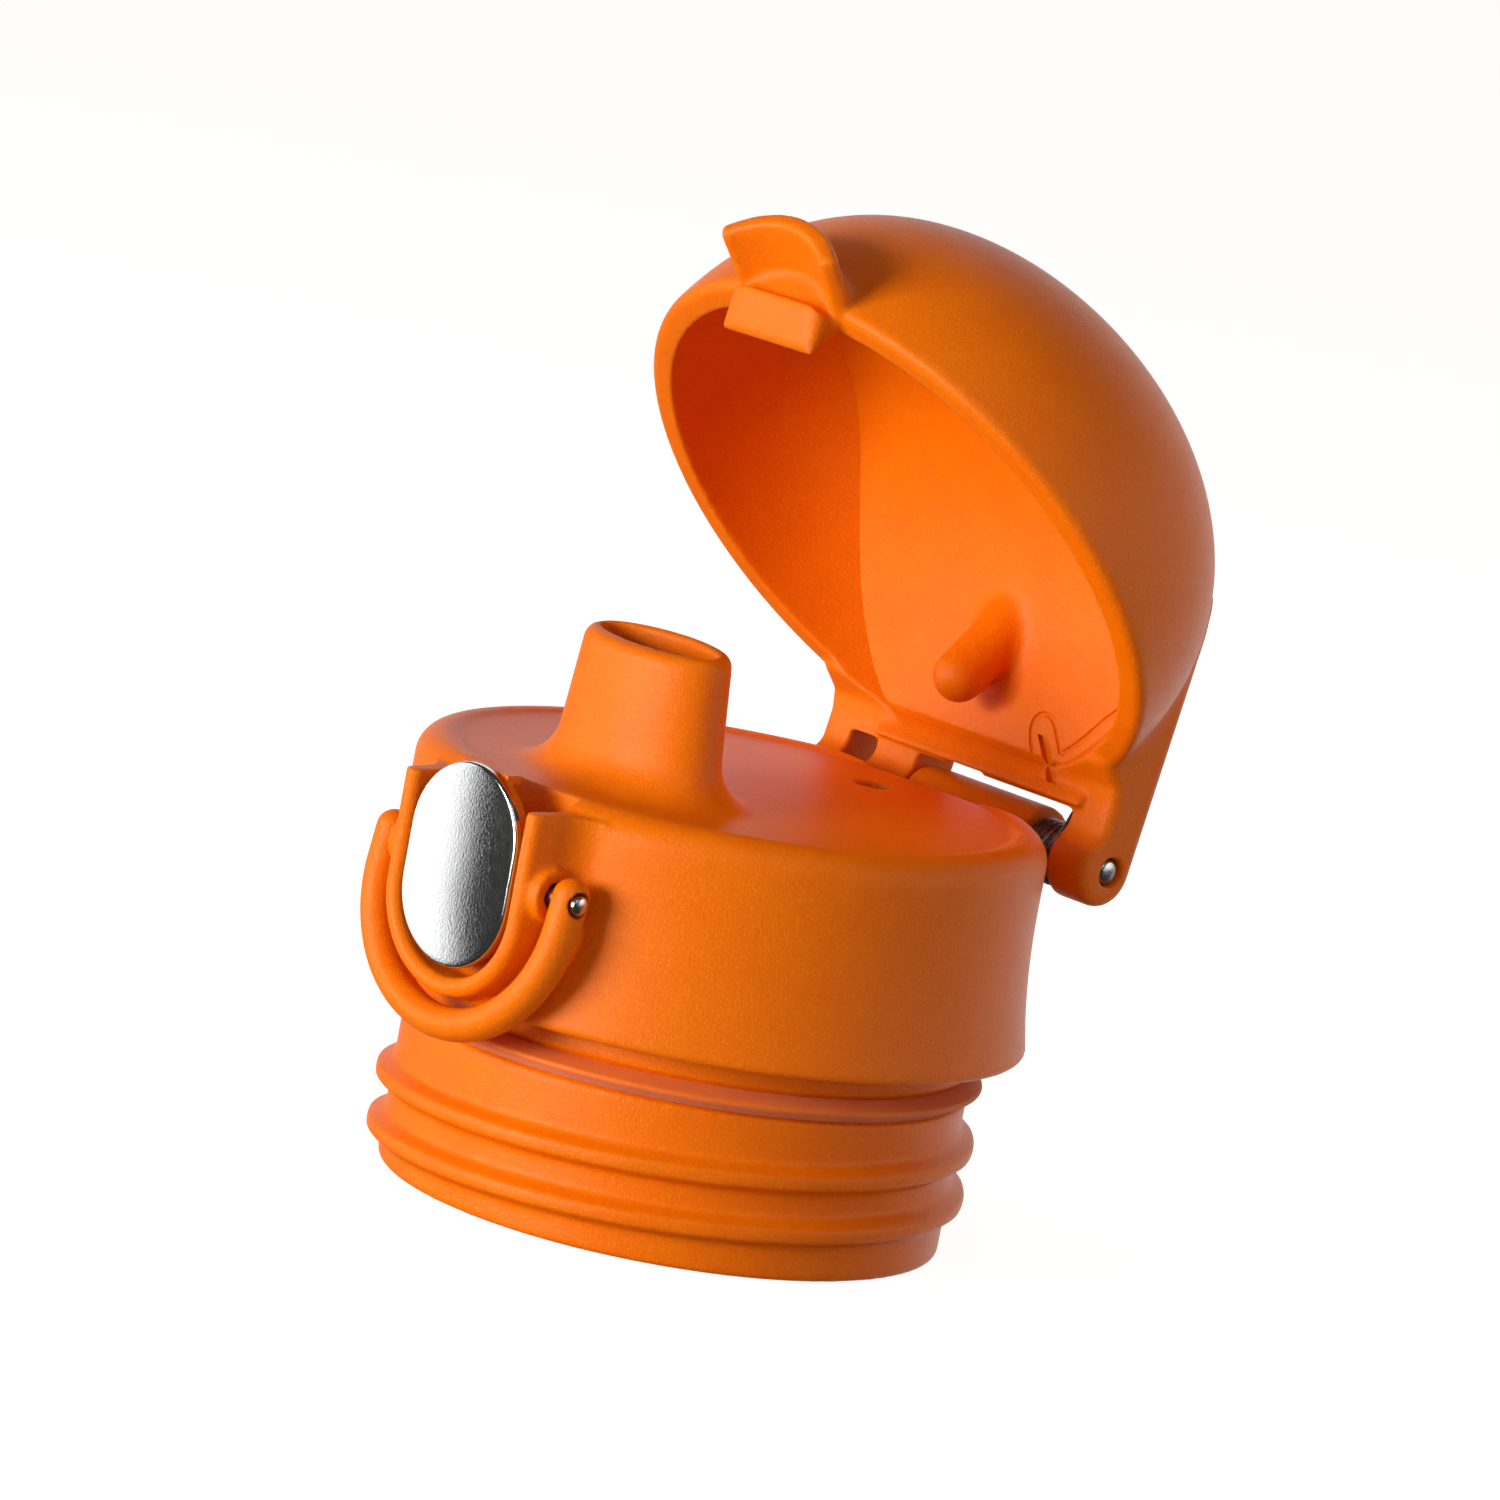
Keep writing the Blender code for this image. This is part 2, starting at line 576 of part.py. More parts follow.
def spout_bore():
    """Return the cutter of the drinking passage, wider at its foot."""
    low = ellipse(SPOUT_BORE_FOOT_HALF_X, SPOUT_BORE_FOOT_HALF_Y, SPOUT_Y, DECK_Z - DECK_WALL - OVERRUN)
    foot = ellipse(SPOUT_BORE_FOOT_HALF_X, SPOUT_BORE_FOOT_HALF_Y, SPOUT_Y, DECK_Z)
    top = ellipse(SPOUT_BORE_HALF_X, SPOUT_BORE_HALF_Y, SPOUT_Y, SPOUT_TOP_Z + OVERRUN)
    return loft([low, foot, top])


def fairing_stations():
    """Return (y, half width) of the fillet that runs from the housing's side into the skirt."""
    side = HOUSING_HALF_X + HOUSING_DRAFT
    centre_x = side + HOUSING_FAIRING
    centre_y = -math.sqrt((BODY_RADIUS + HOUSING_FAIRING) ** 2 - centre_x ** 2)
    end_deg = math.degrees(math.atan2(-centre_y, -centre_x))
    stations = []
    for x, y in arc_points((centre_x, centre_y), HOUSING_FAIRING, 180.0, end_deg, ARC_STEPS // 2):
        stations.append((y, x))
    stations.append((BACKING_Y, stations[-1][1]))
    return stations


def housing_solid():
    """Return the U-shaped latch housing with its rounded lip and the fairing into the skirt."""
    stations = []
    for angle in (90.0, 60.0, 30.0, 0.0):
        turn = math.radians(angle)
        stations.append((HOUSING_FRONT_Y + HOUSING_LIP * (1.0 - math.sin(turn)),
                         HOUSING_HALF_X - HOUSING_LIP * (1.0 - math.cos(turn))))
    stations += fairing_stations()
    return loft([[(x, y, z) for x, z in u_outline(half_x, HOUSING_LOW_Z, HOUSING_TOP_Z, HOUSING_FLOOR_Z)]
                 for y, half_x in stations])


def housing_cavity():
    """Return the cutter of the housing's open-topped pocket, its mouth eased at the lip."""
    inner = HOUSING_HALF_X - HOUSING_WALL
    mouth = inner + HOUSING_EASE
    rings = []
    for y, half_x in ((HOUSING_FRONT_Y - OVERRUN, mouth), (HOUSING_FRONT_Y, mouth),
                      (HOUSING_FRONT_Y + HOUSING_EASE, inner), (HOUSING_SILL_Y, inner)):
        rings.append([(x, y, z) for x, z in u_outline(half_x, HOUSING_LOW_Z, DECK_Z + OVERRUN)])
    return loft(rings)


def socket_cutter():
    """Return the cutter of the skirt's socket, which the collar's flange fills."""
    circle = arc_points((0.0, 0.0), SKIRT_RADIUS - SKIRT_WALL, 0.0, 360.0, ROUND_STEPS)[:-1]
    return along_z(circle, -OVERRUN, SKIRT_BOTTOM_Z + FLANGE_THICKNESS + 2.0 * GAP)


def vent_cutter():
    """Return the cutter of the vent hole and of the round seat that the nub closes."""
    radius = NUB_RADIUS + GAP
    start_deg = math.degrees(math.asin(VENT_RADIUS / radius))
    sections = [(VENT_RADIUS, DECK_Z - DECK_WALL - OVERRUN)]
    for reach, drop in arc_points((0.0, 0.0), radius, start_deg - 90.0, 0.0, ARC_STEPS // 2):
        sections.append((reach, NUB_Z + drop))
    return loft([ellipse(reach, reach, VENT_Y, z, 0.0, SMALL_STEPS) for reach, z in sections])


def hinge_rod(radius, x_low, x_high):
    """Return a cylinder about the hinge axis."""
    return rod_x((HINGE_Y, HINGE_Z), radius, x_low, x_high)


def latch_details(body):
    """Cut the housing's pockets and pin bore and add the bosses that carry the bail."""
    latch_centre = (LATCH_Y, LATCH_Z)
    boss_half_x = BAIL_HALF_X - BAIL_HALF_WIDTH - GAP
    for side in (-1.0, 1.0):
        ends = sorted((side * (HOUSING_HALF_X - HOUSING_LIP), side * boss_half_x))
        combine(body, rod_x(latch_centre, BAIL_BOSS_RADIUS, *ends), "UNION", "bail_boss")
    combine(body, housing_cavity(), "DIFFERENCE", "housing_cavity")
    inner = HOUSING_HALF_X - HOUSING_WALL
    deep = u_outline(inner, HOUSING_SILL_Z + inner, DECK_Z + OVERRUN)
    combine(body, along_y(deep, HOUSING_SILL_Y - GAP, HOUSING_BACK_Y), "DIFFERENCE", "deep_cavity")
    combine(body, socket_cutter(), "DIFFERENCE", "socket")
    combine(body, box(-inner, inner, HOUSING_BACK_Y - GAP, CATCH_POCKET_Y, CATCH_POCKET_Z, DECK_Z + OVERRUN),
            "DIFFERENCE", "catch_pocket")
    combine(body, rod_x(latch_centre, LATCH_PIN_RADIUS + GAP, -LATCH_PIN_HALF_X - OVERRUN,
                        LATCH_PIN_HALF_X + OVERRUN), "DIFFERENCE", "latch_bore")


def build_cap_body():
    """Build the one-piece body: deck, spout, skirt, latch housing and hinge knuckle."""
    body = finish_object("cap_body", lathe(shell_profile()), ORANGE)
    combine(body, box(-BACKING_HALF_X, BACKING_HALF_X, HOUSING_BACK_Y - GAP, BACKING_Y,
                      BACKING_LOW_Z, DECK_Z - DECK_FILLET), "UNION", "backing")
    combine(body, spout_solid(), "UNION", "spout")
    combine(body, housing_solid(), "UNION", "housing")
    combine(body, box(-REAR_CHORD_HALF_X, REAR_CHORD_HALF_X, REAR_CHORD_Y, BODY_RADIUS + OVERRUN,
                      REAR_CHORD_Z, DECK_Z + OVERRUN), "DIFFERENCE", "rear_chord")
    combine(body, knuckle_solid(), "UNION", "knuckle")
    combine(body, hinge_rod(LUG_NOTCH_RADIUS, LUG_LEFT_X - GAP, LUG_RIGHT_X + GAP), "DIFFERENCE", "lug_notch")
    combine(body, hinge_rod(HINGE_PIN_RADIUS + GAP, -HINGE_PIN_HALF_X - OVERRUN, HINGE_PIN_HALF_X + OVERRUN),
            "DIFFERENCE", "hinge_bore")
    combine(body, spout_bore(), "DIFFERENCE", "spout_bore")
    combine(body, vent_cutter(), "DIFFERENCE", "vent")
    latch_details(body)
    return body


def knuckle_solid():
    """Return the hinge block: a barrel on the hinge axis and its foot on the skirt's back."""
    rise_deg = 180.0 - math.degrees(math.asin((KNUCKLE_TOP_Z - HINGE_Z) / KNUCKLE_RADIUS))
    barrel = arc_points((HINGE_Y, HINGE_Z), KNUCKLE_RADIUS, rise_deg, KNUCKLE_END_DEG, 2 * ARC_STEPS)
    outline = [(KNUCKLE_FOOT_Y, KNUCKLE_FOOT_Z), (KNUCKLE_FOOT_Y, KNUCKLE_TOP_Z)] + barrel
    return along_x(outline, KNUCKLE_LEFT_X, KNUCKLE_RIGHT_X)


def collar_profile():
    """Return the threaded collar's outline: tube, seal groove and top flange."""
    flange_low = SKIRT_BOTTOM_Z + GAP
    flange_radius = SKIRT_RADIUS - SKIRT_WALL - GAP
    groove_radius = NECK_RADIUS - SEAL_GROOVE_DEPTH
    groove_half = SEAL_ROOT * 0.5 + GAP
    return [(NECK_BORE_RADIUS + NECK_EDGE, 0.0), (NECK_RADIUS - NECK_EDGE, 0.0),
            (NECK_RADIUS, NECK_EDGE),
            (NECK_RADIUS, SEAL_Z - groove_half), (groove_radius, SEAL_Z - groove_half),
            (groove_radius, SEAL_Z + groove_half), (NECK_RADIUS, SEAL_Z + groove_half),
            (NECK_RADIUS, flange_low), (flange_radius, flange_low),
            (flange_radius, flange_low + FLANGE_THICKNESS),
            (NECK_BORE_RADIUS, flange_low + FLANGE_THICKNESS), (NECK_BORE_RADIUS, NECK_EDGE)]


def thread_solid():
    """Return the single-start right-hand thread ridge, fading out at both ends."""
    steps = round(ROUND_STEPS * THREAD_TURNS * THREAD_STEPS_SHARE)
    rings = []
    for index in range(steps + 1):
        turned = 360.0 * THREAD_TURNS * index / steps
        from_end = min(turned, 360.0 * THREAD_TURNS - turned)
        height_share = min(1.0, from_end / THREAD_RUNOUT_DEG)
        crest_radius = NECK_RADIUS + (THREAD_RADIUS - NECK_RADIUS) * math.sin(height_share * math.pi / 2.0)
        middle = THREAD_START_Z + THREAD_PITCH * turned / 360.0
        flank = (THREAD_ROOT - THREAD_CREST) * 0.5
        root_half = THREAD_CREST * 0.5 + flank * max(height_share, THREAD_RUNOUT_SHARE)
        angle = math.radians(THREAD_START_DEG + turned)
        section = ((NECK_RADIUS - THREAD_BITE, middle - root_half), (crest_radius, middle - THREAD_CREST * 0.5),
                   (crest_radius, middle + THREAD_CREST * 0.5), (NECK_RADIUS - THREAD_BITE, middle + root_half))
        rings.append([(radius * math.cos(angle), radius * math.sin(angle), z) for radius, z in section])
    return loft(rings)


def build_neck():
    """Build the threaded collar and the seal ring in its groove."""
    collar = finish_object("neck_collar", lathe(collar_profile()), ORANGE)
    combine(collar, thread_solid(), "UNION", "thread")
    inner = NECK_RADIUS - SEAL_GROOVE_DEPTH + GAP
    half_root = SEAL_ROOT * 0.5
    half_crest = SEAL_CREST * 0.5
    profile = [(inner, SEAL_Z - half_root), (NECK_RADIUS, SEAL_Z - half_root),
               (SEAL_RADIUS, SEAL_Z - half_crest), (SEAL_RADIUS, SEAL_Z + half_crest),
               (NECK_RADIUS, SEAL_Z + half_root), (inner, SEAL_Z + half_root)]
    finish_object("neck_seal", lathe(profile), SILICONE)


def dome_solid(radius, height, rim_edge=0.0, skirt=0.0):
    """Return a closed superellipse dome on the rim plane, its rim rounded or run straight down."""
    sections = [(radius, LID_RIM_Z - skirt)]
    if rim_edge > 0.0:
        sections = [(radius - rim_edge * (1.0 - math.cos(turn)), LID_RIM_Z + rim_edge * (1.0 - math.sin(turn)))
                    for turn in (math.radians(angle) for angle in (90.0, 60.0, 30.0))]
    for index in range(DOME_STEPS):
        angle = math.pi / 2.0 * index / DOME_STEPS
        sections.append((radius * math.cos(angle) ** (2.0 / LID_POWER),
                         LID_RIM_Z + rim_edge + (height - rim_edge) * math.sin(angle) ** (2.0 / LID_POWER)))
    bm = bmesh.new()
    rings = []
    for ring_radius, z in sections:
        circle = arc_points((0.0, 0.0), ring_radius, 0.0, 360.0, ROUND_STEPS)[:-1]
        rings.append([bm.verts.new((x, y, z)) for x, y in circle])
    tip = bm.verts.new((0.0, 0.0, LID_RIM_Z + height))
    for lower, upper in zip(rings, rings[1:]):
        for index, vert in enumerate(lower):
            bm.faces.new((lower[index - 1], vert, upper[index], upper[index - 1]))
    for index, vert in enumerate(rings[-1]):
        bm.faces.new((rings[-1][index - 1], vert, tip))
    bm.faces.new(rings[0])
    return bm


def liner_ceiling(y):
    """Return the height of the liner's vaulted underside at y, behind its peak."""
    share = (y - LINER_PEAK_Y) / (LINER_REAR_Y - LINER_PEAK_Y)
    return LINER_PEAK_Z - (LINER_PEAK_Z - LID_RIM_Z) * share ** 2


def arm_outline():
    """Return the (y, z) side outline of the lid's tail: barrel, heel, dome flank and sloping back."""
    tip = (HINGE_Y - ARM_TIP_OFFSET, HINGE_Z - ARM_TIP_OFFSET)
    barrel = arc_points(tip, ARM_RADIUS, ARM_BARREL_START_DEG, ARM_BARREL_END_DEG, 3 * ARC_STEPS)
    return barrel + [(ARM_HEEL_Y, ARM_HEEL_Z), (ARM_ROOT_Y, LID_RIM_Z - ARM_ROOT_DROP),
                     (ARM_ROOT_Y - ARM_RADIUS, LID_RIM_Z - ARM_ROOT_DROP),
                     (ARM_TOP_Y - ARM_RADIUS, ARM_TOP_Z + ARM_RADIUS), (ARM_TOP_Y, ARM_TOP_Z)]


def build_lid(pivot):
    """Build the lid's shell with its tail, catch and visor, closed, on the hinge pivot."""
    shell = finish_object("lid_shell", dome_solid(LID_RADIUS, LID_HEIGHT, LID_RIM_EDGE), ORANGE, pivot)
    tail = combine(shell, along_x(arm_outline(), -ARM_HALF_X, ARM_HALF_X), "UNION", "tail")
    add_edge_round(tail, ARM_EDGE)
    visor = combine(shell, visor_solid(), "UNION", "visor")
    add_edge_round(visor, VISOR_EDGE)
    combine(shell, dome_solid(LID_RADIUS - LID_RIM_WALL, LID_HEIGHT - LID_CROWN_WALL, 0.0, OVERRUN),
            "DIFFERENCE", "hollow")
    inner_x = ARM_HALF_X - ARM_WIDTH
    block_top = [(WEB_FRONT_Y, LID_RIM_Z), (WEB_FRONT_Y, REAR_BLOCK_TOP_Z),
                 (WEB_BACK_Y + GAP, REAR_BLOCK_TOP_Z), (WEB_BACK_Y + GAP, LID_RIM_Z)]
    combine(shell, along_x(block_top, -inner_x - GAP, inner_x + GAP), "UNION", "rear_block")
    reach_y = HINGE_Y + ARM_RADIUS + OVERRUN
    low_z = HINGE_Z - ARM_RADIUS - OVERRUN
    for side, x_low, x_high in (("left", -inner_x, LUG_LEFT_X), ("right", LUG_RIGHT_X, inner_x)):
        window = box(x_low, x_high, WEB_BACK_Y, reach_y, low_z, WINDOW_TOP_Z)
        combine(shell, window, "DIFFERENCE", side + "_window")
    web = [(WEB_FRONT_Y - GAP, LID_RIM_Z - WEB_SLOPE), (WEB_FRONT_Y, WEB_LOW_Z), (WEB_FRONT_Y + GAP, WEB_LOW_Z),
           (WEB_BACK_Y, WEB_LOW_Z + WEB_SLOPE), (WEB_BACK_Y, LID_RIM_Z + WEB_SLOPE),
           (WEB_FRONT_Y, LID_RIM_Z + WEB_SLOPE)]
    combine(shell, along_x(web, LUG_LEFT_X, inner_x + GAP), "UNION", "web")
    combine(shell, hinge_rod(HINGE_PIN_RADIUS + GAP, -ARM_HALF_X - OVERRUN, ARM_HALF_X + OVERRUN),
            "DIFFERENCE", "pin_bore")
    combine(shell, catch_solid(), "UNION", "catch")
    return shell


def catch_solid():
    """Return the catch: a slope up to the ledged nose that the rocker's hook holds, round-cornered."""
    rings = []
    for z, front in ((CATCH_LOW_Z, CATCH_LOW_Y), (CATCH_NOSE_Z - CATCH_LOW_ROUND, CATCH_NOSE_Y + GAP),
                     (CATCH_NOSE_Z, CATCH_NOSE_Y), (CATCH_NOSE_Z + CATCH_LEDGE, CATCH_NECK_Y),
                     (LID_RIM_Z + GAP, CATCH_NECK_Y)):
        depth = min(CATCH_CORNER, CATCH_BACK_Y - front - GAP)
        ring = [(-CATCH_HALF_X, CATCH_BACK_Y, z)]
        for side, angles in ((-1.0, range(ARC_STEPS // 2 + 1)), (1.0, range(ARC_STEPS // 2, -1, -1))):
            for index in angles:
                turn = math.pi / 2.0 * index / (ARC_STEPS // 2)
                x = side * (CATCH_HALF_X - CATCH_CORNER * (1.0 - math.cos(turn)))
                ring.append((x, front + depth * (1.0 - math.sin(turn)), z))
        ring.append((CATCH_HALF_X, CATCH_BACK_Y, z))
        rings.append(ring)
    return loft(rings)


def visor_solid():
    """Return the arched thumb visor that closes the housing's U above the button."""
    low_deg = 90.0 - VISOR_HALF_DEG
    high_deg = 90.0 + VISOR_HALF_DEG
    steps = 2 * ARC_STEPS
    rings = []
    for y, sweep, grow in ((VISOR_FRONT_Y, VISOR_SWEEP, 0.0), (VISOR_BACK_Y, 0.0, -VISOR_DROOP)):
        centre = (0.0, VISOR_CENTRE_Z)
        outer = arc_points(centre, VISOR_RADIUS + grow, low_deg, high_deg, steps)
        inner = arc_points(centre, VISOR_RADIUS + grow - VISOR_WALL, high_deg, low_deg, steps)
        rings.append([(x, y + sweep * (x / VISOR_RADIUS) ** 2, z) for x, z in outer + inner])
    return loft(rings)


def build_liner(pivot):
    """Build the vaulted liner with its vent nub and the slot for the spring's leg."""
    inside = dome_solid(LID_RADIUS - LID_RIM_WALL - GAP, LID_HEIGHT - LID_CROWN_WALL - GAP)
    liner = finish_object("lid_liner", inside, ORANGE, pivot)
    under = []
    for index in range(2 * ARC_STEPS + 1):
        y = LINER_PEAK_Y + (LINER_REAR_Y - LINER_PEAK_Y) * index / (2 * ARC_STEPS)
        under.append((y, liner_ceiling(y)))
    rear = (LINER_REAR_Y + OVERRUN, LID_RIM_Z)
    slab = [(LINER_FRONT_Y, LINER_PEAK_Z)] + under + [rear]
    slab += [(y, z + LINER_THICKNESS) for y, z in slab[::-1]]
    combine(liner, along_x(slab, -LID_RADIUS, LID_RADIUS), "INTERSECT", "vault")
    combine(liner, box(-LID_RADIUS, LID_RADIUS, WEB_FRONT_Y - GAP, LID_RADIUS, LID_RIM_Z - OVERRUN,
                       REAR_BLOCK_TOP_Z + GAP), "DIFFERENCE", "block_seat")
    combine(liner, nub_solid(), "UNION", "nub")
    combine(liner, box(LEG_SLOT_X - LEG_SLOT_HALF_X, LEG_SLOT_X + LEG_SLOT_HALF_X, LEG_SLOT_Y, LID_RADIUS,
                       LID_RIM_Z - OVERRUN, LEG_SLOT_Z), "DIFFERENCE", "leg_slot")
    return liner


def nub_solid():
    """Return the round-ended vent nub, flared where it joins the liner."""
    sections = []
    for angle in (15.0, 35.0, 55.0, 75.0, 90.0):
        turn = math.radians(angle)
        sections.append((NUB_RADIUS * math.sin(turn), NUB_Z - NUB_RADIUS * math.cos(turn)))
    for share in NUB_LEVEL_SHARES:
        sections.append((NUB_RADIUS + NUB_FLARE * share ** 3, NUB_Z + (NUB_TOP_Z - NUB_Z) * share))
    return loft([ellipse(radius, radius, VENT_Y, z, 0.0, SMALL_STEPS) for radius, z in sections])


def build_spout_plug(pivot):
    """Build the soft plug that hangs from the liner and seals the spout."""
    top = LINER_PEAK_Z - GAP
    face = SPOUT_TOP_Z + GAP + SPOUT_SLOPE_SHARE * PLUG_HALF_Y
    rings = [ellipse(PLUG_HALF_X - PLUG_EDGE, PLUG_HALF_Y - PLUG_EDGE, SPOUT_Y, face),
             ellipse(PLUG_HALF_X, PLUG_HALF_Y, SPOUT_Y, face + PLUG_EDGE),
             ellipse(PLUG_HALF_X, PLUG_HALF_Y, SPOUT_Y, face + PLUG_STEM),
             ellipse(PLUG_HALF_X - PLUG_EDGE, PLUG_HALF_Y - PLUG_EDGE, SPOUT_Y, face + PLUG_STEM + PLUG_EDGE),
             ellipse(PLUG_HALF_X - PLUG_EDGE, PLUG_HALF_Y - PLUG_EDGE, SPOUT_Y, top)]
    finish_object("spout_plug", loft(rings), SILICONE, pivot)


def pin_solid(centre, radius, half_x):
    """Return a pin along X with domed ends."""
    rings = []
    ends = [(half_x, PIN_END_RADIUS_SHARE), (half_x - PIN_DOME * 0.5, PIN_DOME_RADIUS_SHARE),
            (half_x - PIN_DOME, 1.0)]
    for x, share in [(-x, share) for x, share in ends] + ends[::-1]:
        circle = arc_points(centre, radius * share, 0.0, 360.0, SMALL_STEPS)[:-1]
        rings.append([(x, y, z) for y, z in circle])
    return loft(rings)


def build_button(pivot):
    """Build the polished plate and the rocker that carries it and hooks the lid's catch."""
    rings = []
    back = PLATE_FRONT_Y + PLATE_THICKNESS
    face = [(PLATE_FRONT_Y - PLATE_CROWN * rise, PLATE_HALF_X * inset) for rise, inset in PLATE_CROWN_SHARES]
    for y, inset in [(back, 0.0), (PLATE_FRONT_Y + PLATE_EDGE, 0.0), (PLATE_FRONT_Y, PLATE_EDGE)] + face:
        rings.append([(x, y, z) for x, z in racetrack(PLATE_HALF_X - inset, PLATE_LOW_Z, PLATE_HIGH_Z)])
    finish_object("button_plate", loft(rings), POLISHED, pivot)

    front = back + GAP
    panel_back = front + ROCKER_THICKNESS
    panel = along_y(racetrack(ROCKER_HALF_X, PLATE_LOW_Z, PLATE_HIGH_Z), front, panel_back)
    rocker = finish_object("button_rocker", panel, ORANGE, pivot)
    foot = [(front + GAP, LATCH_Z - ROCKER_BOSS_RADIUS), (front + GAP, LATCH_Z + ROCKER_BOSS_RADIUS)]
    boss = foot + arc_points((LATCH_Y, LATCH_Z), ROCKER_BOSS_RADIUS, 90.0, -90.0, 2 * ARC_STEPS)
    combine(rocker, along_x(boss, -ROCKER_BOSS_HALF_X, ROCKER_BOSS_HALF_X), "UNION", "boss")
    combine(rocker, box(-HOOK_HALF_X, HOOK_HALF_X, front + GAP, HOOK_TIP_Y, HOOK_Z, HOOK_Z + HOOK_HEIGHT),
            "UNION", "hook")
    combine(rocker, rod_x((LATCH_Y, LATCH_Z), LATCH_PIN_RADIUS + GAP, -ROCKER_BOSS_HALF_X - OVERRUN,
                          ROCKER_BOSS_HALF_X + OVERRUN), "DIFFERENCE", "bore")
    return panel_back


def wire_mesh(points, radius):
    """Return a round wire along points as one closed tube."""
    rings = []
    side = None
    for index, point in enumerate(points):
        tangent = (points[min(index + 1, len(points) - 1)] - points[max(index - 1, 0)]).normalized()
        side = tangent.orthogonal() if side is None else side - tangent * side.dot(tangent)
        side.normalize()
        up = tangent.cross(side)
        rings.append([point + side * (radius * math.cos(turn)) + up * (radius * math.sin(turn))
                      for turn in (math.tau * step / WIRE_STEPS for step in range(WIRE_STEPS))])
    return loft(rings)


def build_button_spring(panel_back):
    """Build the small compression spring between the rocker's foot and the housing's back wall."""
    start = panel_back + GAP + BUTTON_SPRING_WIRE
    end = HOUSING_BACK_Y - GAP - BUTTON_SPRING_WIRE
    steps = round(BUTTON_SPRING_TURNS * COIL_STEPS)
    points = []
    for index in range(steps + 1):
        turn = math.tau * BUTTON_SPRING_TURNS * index / steps
        points.append(Vector((BUTTON_SPRING_RADIUS * math.cos(turn), start + (end - start) * index / steps,
                              BUTTON_SPRING_Z + BUTTON_SPRING_RADIUS * math.sin(turn))))
    finish_object("button_spring", wire_mesh(points, BUTTON_SPRING_WIRE), SPRING_STEEL)


def build_lid_spring():
    """Build the torsion spring on the hinge pin, one leg behind the lid's web and one on the skirt."""
    opened = Matrix.Rotation(math.radians(-LID_OPEN_DEG), 4, "X")
    points = []
    for z in (LID_LEG_TOP_Z, LID_LEG_LOW_Z):
        leg = opened @ Vector((0.0, LID_LEG_Y - HINGE_Y, z - HINGE_Z))
        points.append(leg + HINGE_AXIS + Vector((LID_SPRING_LEFT_X, 0.0, 0.0)))
    steps = round(LID_SPRING_TURNS * COIL_STEPS)
    for index in range(steps + 1):
        turn = math.radians(LID_SPRING_START_DEG) + math.tau * LID_SPRING_TURNS * index / steps
        x = LID_SPRING_LEFT_X + (LID_SPRING_RIGHT_X - LID_SPRING_LEFT_X) * index / steps
        coil = Vector((x, LID_SPRING_RADIUS * math.cos(turn), LID_SPRING_RADIUS * math.sin(turn)))
        points.append(HINGE_AXIS + coil)
    points.append(Vector((LID_SPRING_RIGHT_X, BODY_LEG_Y, BODY_LEG_Z)))
    finish_object("lid_spring", wire_mesh(points, LID_SPRING_WIRE), SPRING_STEEL)


def bail_stations():
    """Return the bail's centre line and width share as (x, z, share), its ends rounded off."""
    straight = LATCH_Z + BAIL_END - BAIL_HALF_WIDTH
    end = []
    for angle in (80.0, 60.0, 35.0, 0.0):
        turn = math.radians(angle)
        end.append((BAIL_HALF_X, straight + BAIL_HALF_WIDTH * math.sin(turn), math.cos(turn)))
    arc = arc_points((0.0, LATCH_Z - BAIL_DROP), BAIL_HALF_X, 0.0, -180.0, 3 * ARC_STEPS)
    middle = [(BAIL_HALF_X, LATCH_Z, 1.0)] + [(x, z, 1.0) for x, z in arc] + [(-BAIL_HALF_X, LATCH_Z, 1.0)]
    return end + middle + [(-x, z, share) for x, z, share in end[::-1]]


def build_bail(pivot):
    """Build the carry loop: an oval section swept round a U, bored for the pin at both ends."""
    stations = bail_stations()
    rings = []
    for index, (x, z, share) in enumerate(stations):
        before = Vector(stations[max(index - 1, 0)][:2])
        following = Vector(stations[min(index + 1, len(stations) - 1)][:2])
        along = (following - before).normalized()
        ring = []
        for turn in (math.tau * step / (2 * ARC_STEPS) for step in range(2 * ARC_STEPS)):
            reach = BAIL_HALF_WIDTH * share * math.cos(turn)
            depth = BAIL_HALF_DEPTH * share * math.sin(turn)
            ring.append((x + along.y * reach, LATCH_Y + depth, z - along.x * reach))
        rings.append(ring)
    bail = finish_object("bail", loft(rings), ORANGE, pivot)
    combine(bail, rod_x((LATCH_Y, LATCH_Z), LATCH_PIN_RADIUS + GAP, -BAIL_HALF_X - OVERRUN,
                        BAIL_HALF_X + OVERRUN), "DIFFERENCE", "bail_bore")


def main():
    """Build every piece in its place."""
    clear_scene()
    hinge = make_pivot("hinge_pivot", HINGE_AXIS, -LID_OPEN_DEG)
    latch = make_pivot("latch_pivot", LATCH_AXIS, 0.0)
    bail_pivot = make_pivot("bail_pivot", LATCH_AXIS, BAIL_TILT_DEG)
    build_cap_body()
    build_neck()
    build_lid(hinge)
    build_liner(hinge)
    build_spout_plug(hinge)
    panel_back = build_button(latch)
    build_button_spring(panel_back)
    build_lid_spring()
    build_bail(bail_pivot)
    finish_object("hinge_pin", pin_solid((HINGE_Y, HINGE_Z), HINGE_PIN_RADIUS, HINGE_PIN_HALF_X), STEEL)
    finish_object("latch_pin", pin_solid((LATCH_Y, LATCH_Z), LATCH_PIN_RADIUS, LATCH_PIN_HALF_X), STEEL)


main()
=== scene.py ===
"""Looks of a flip top cap for a wide-mouth drinks bottle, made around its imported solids.

Metres, +Z up along the neck's axis. The lid's pieces are shaped closed and then turned open about the hinge.
Every moulding is joined and cut from plain solids, then skinned finely, so that its edges and corners
are soft.
"""
import logging
import math
from collections.abc import Iterable, Sequence
from dataclasses import dataclass, field
from enum import Enum

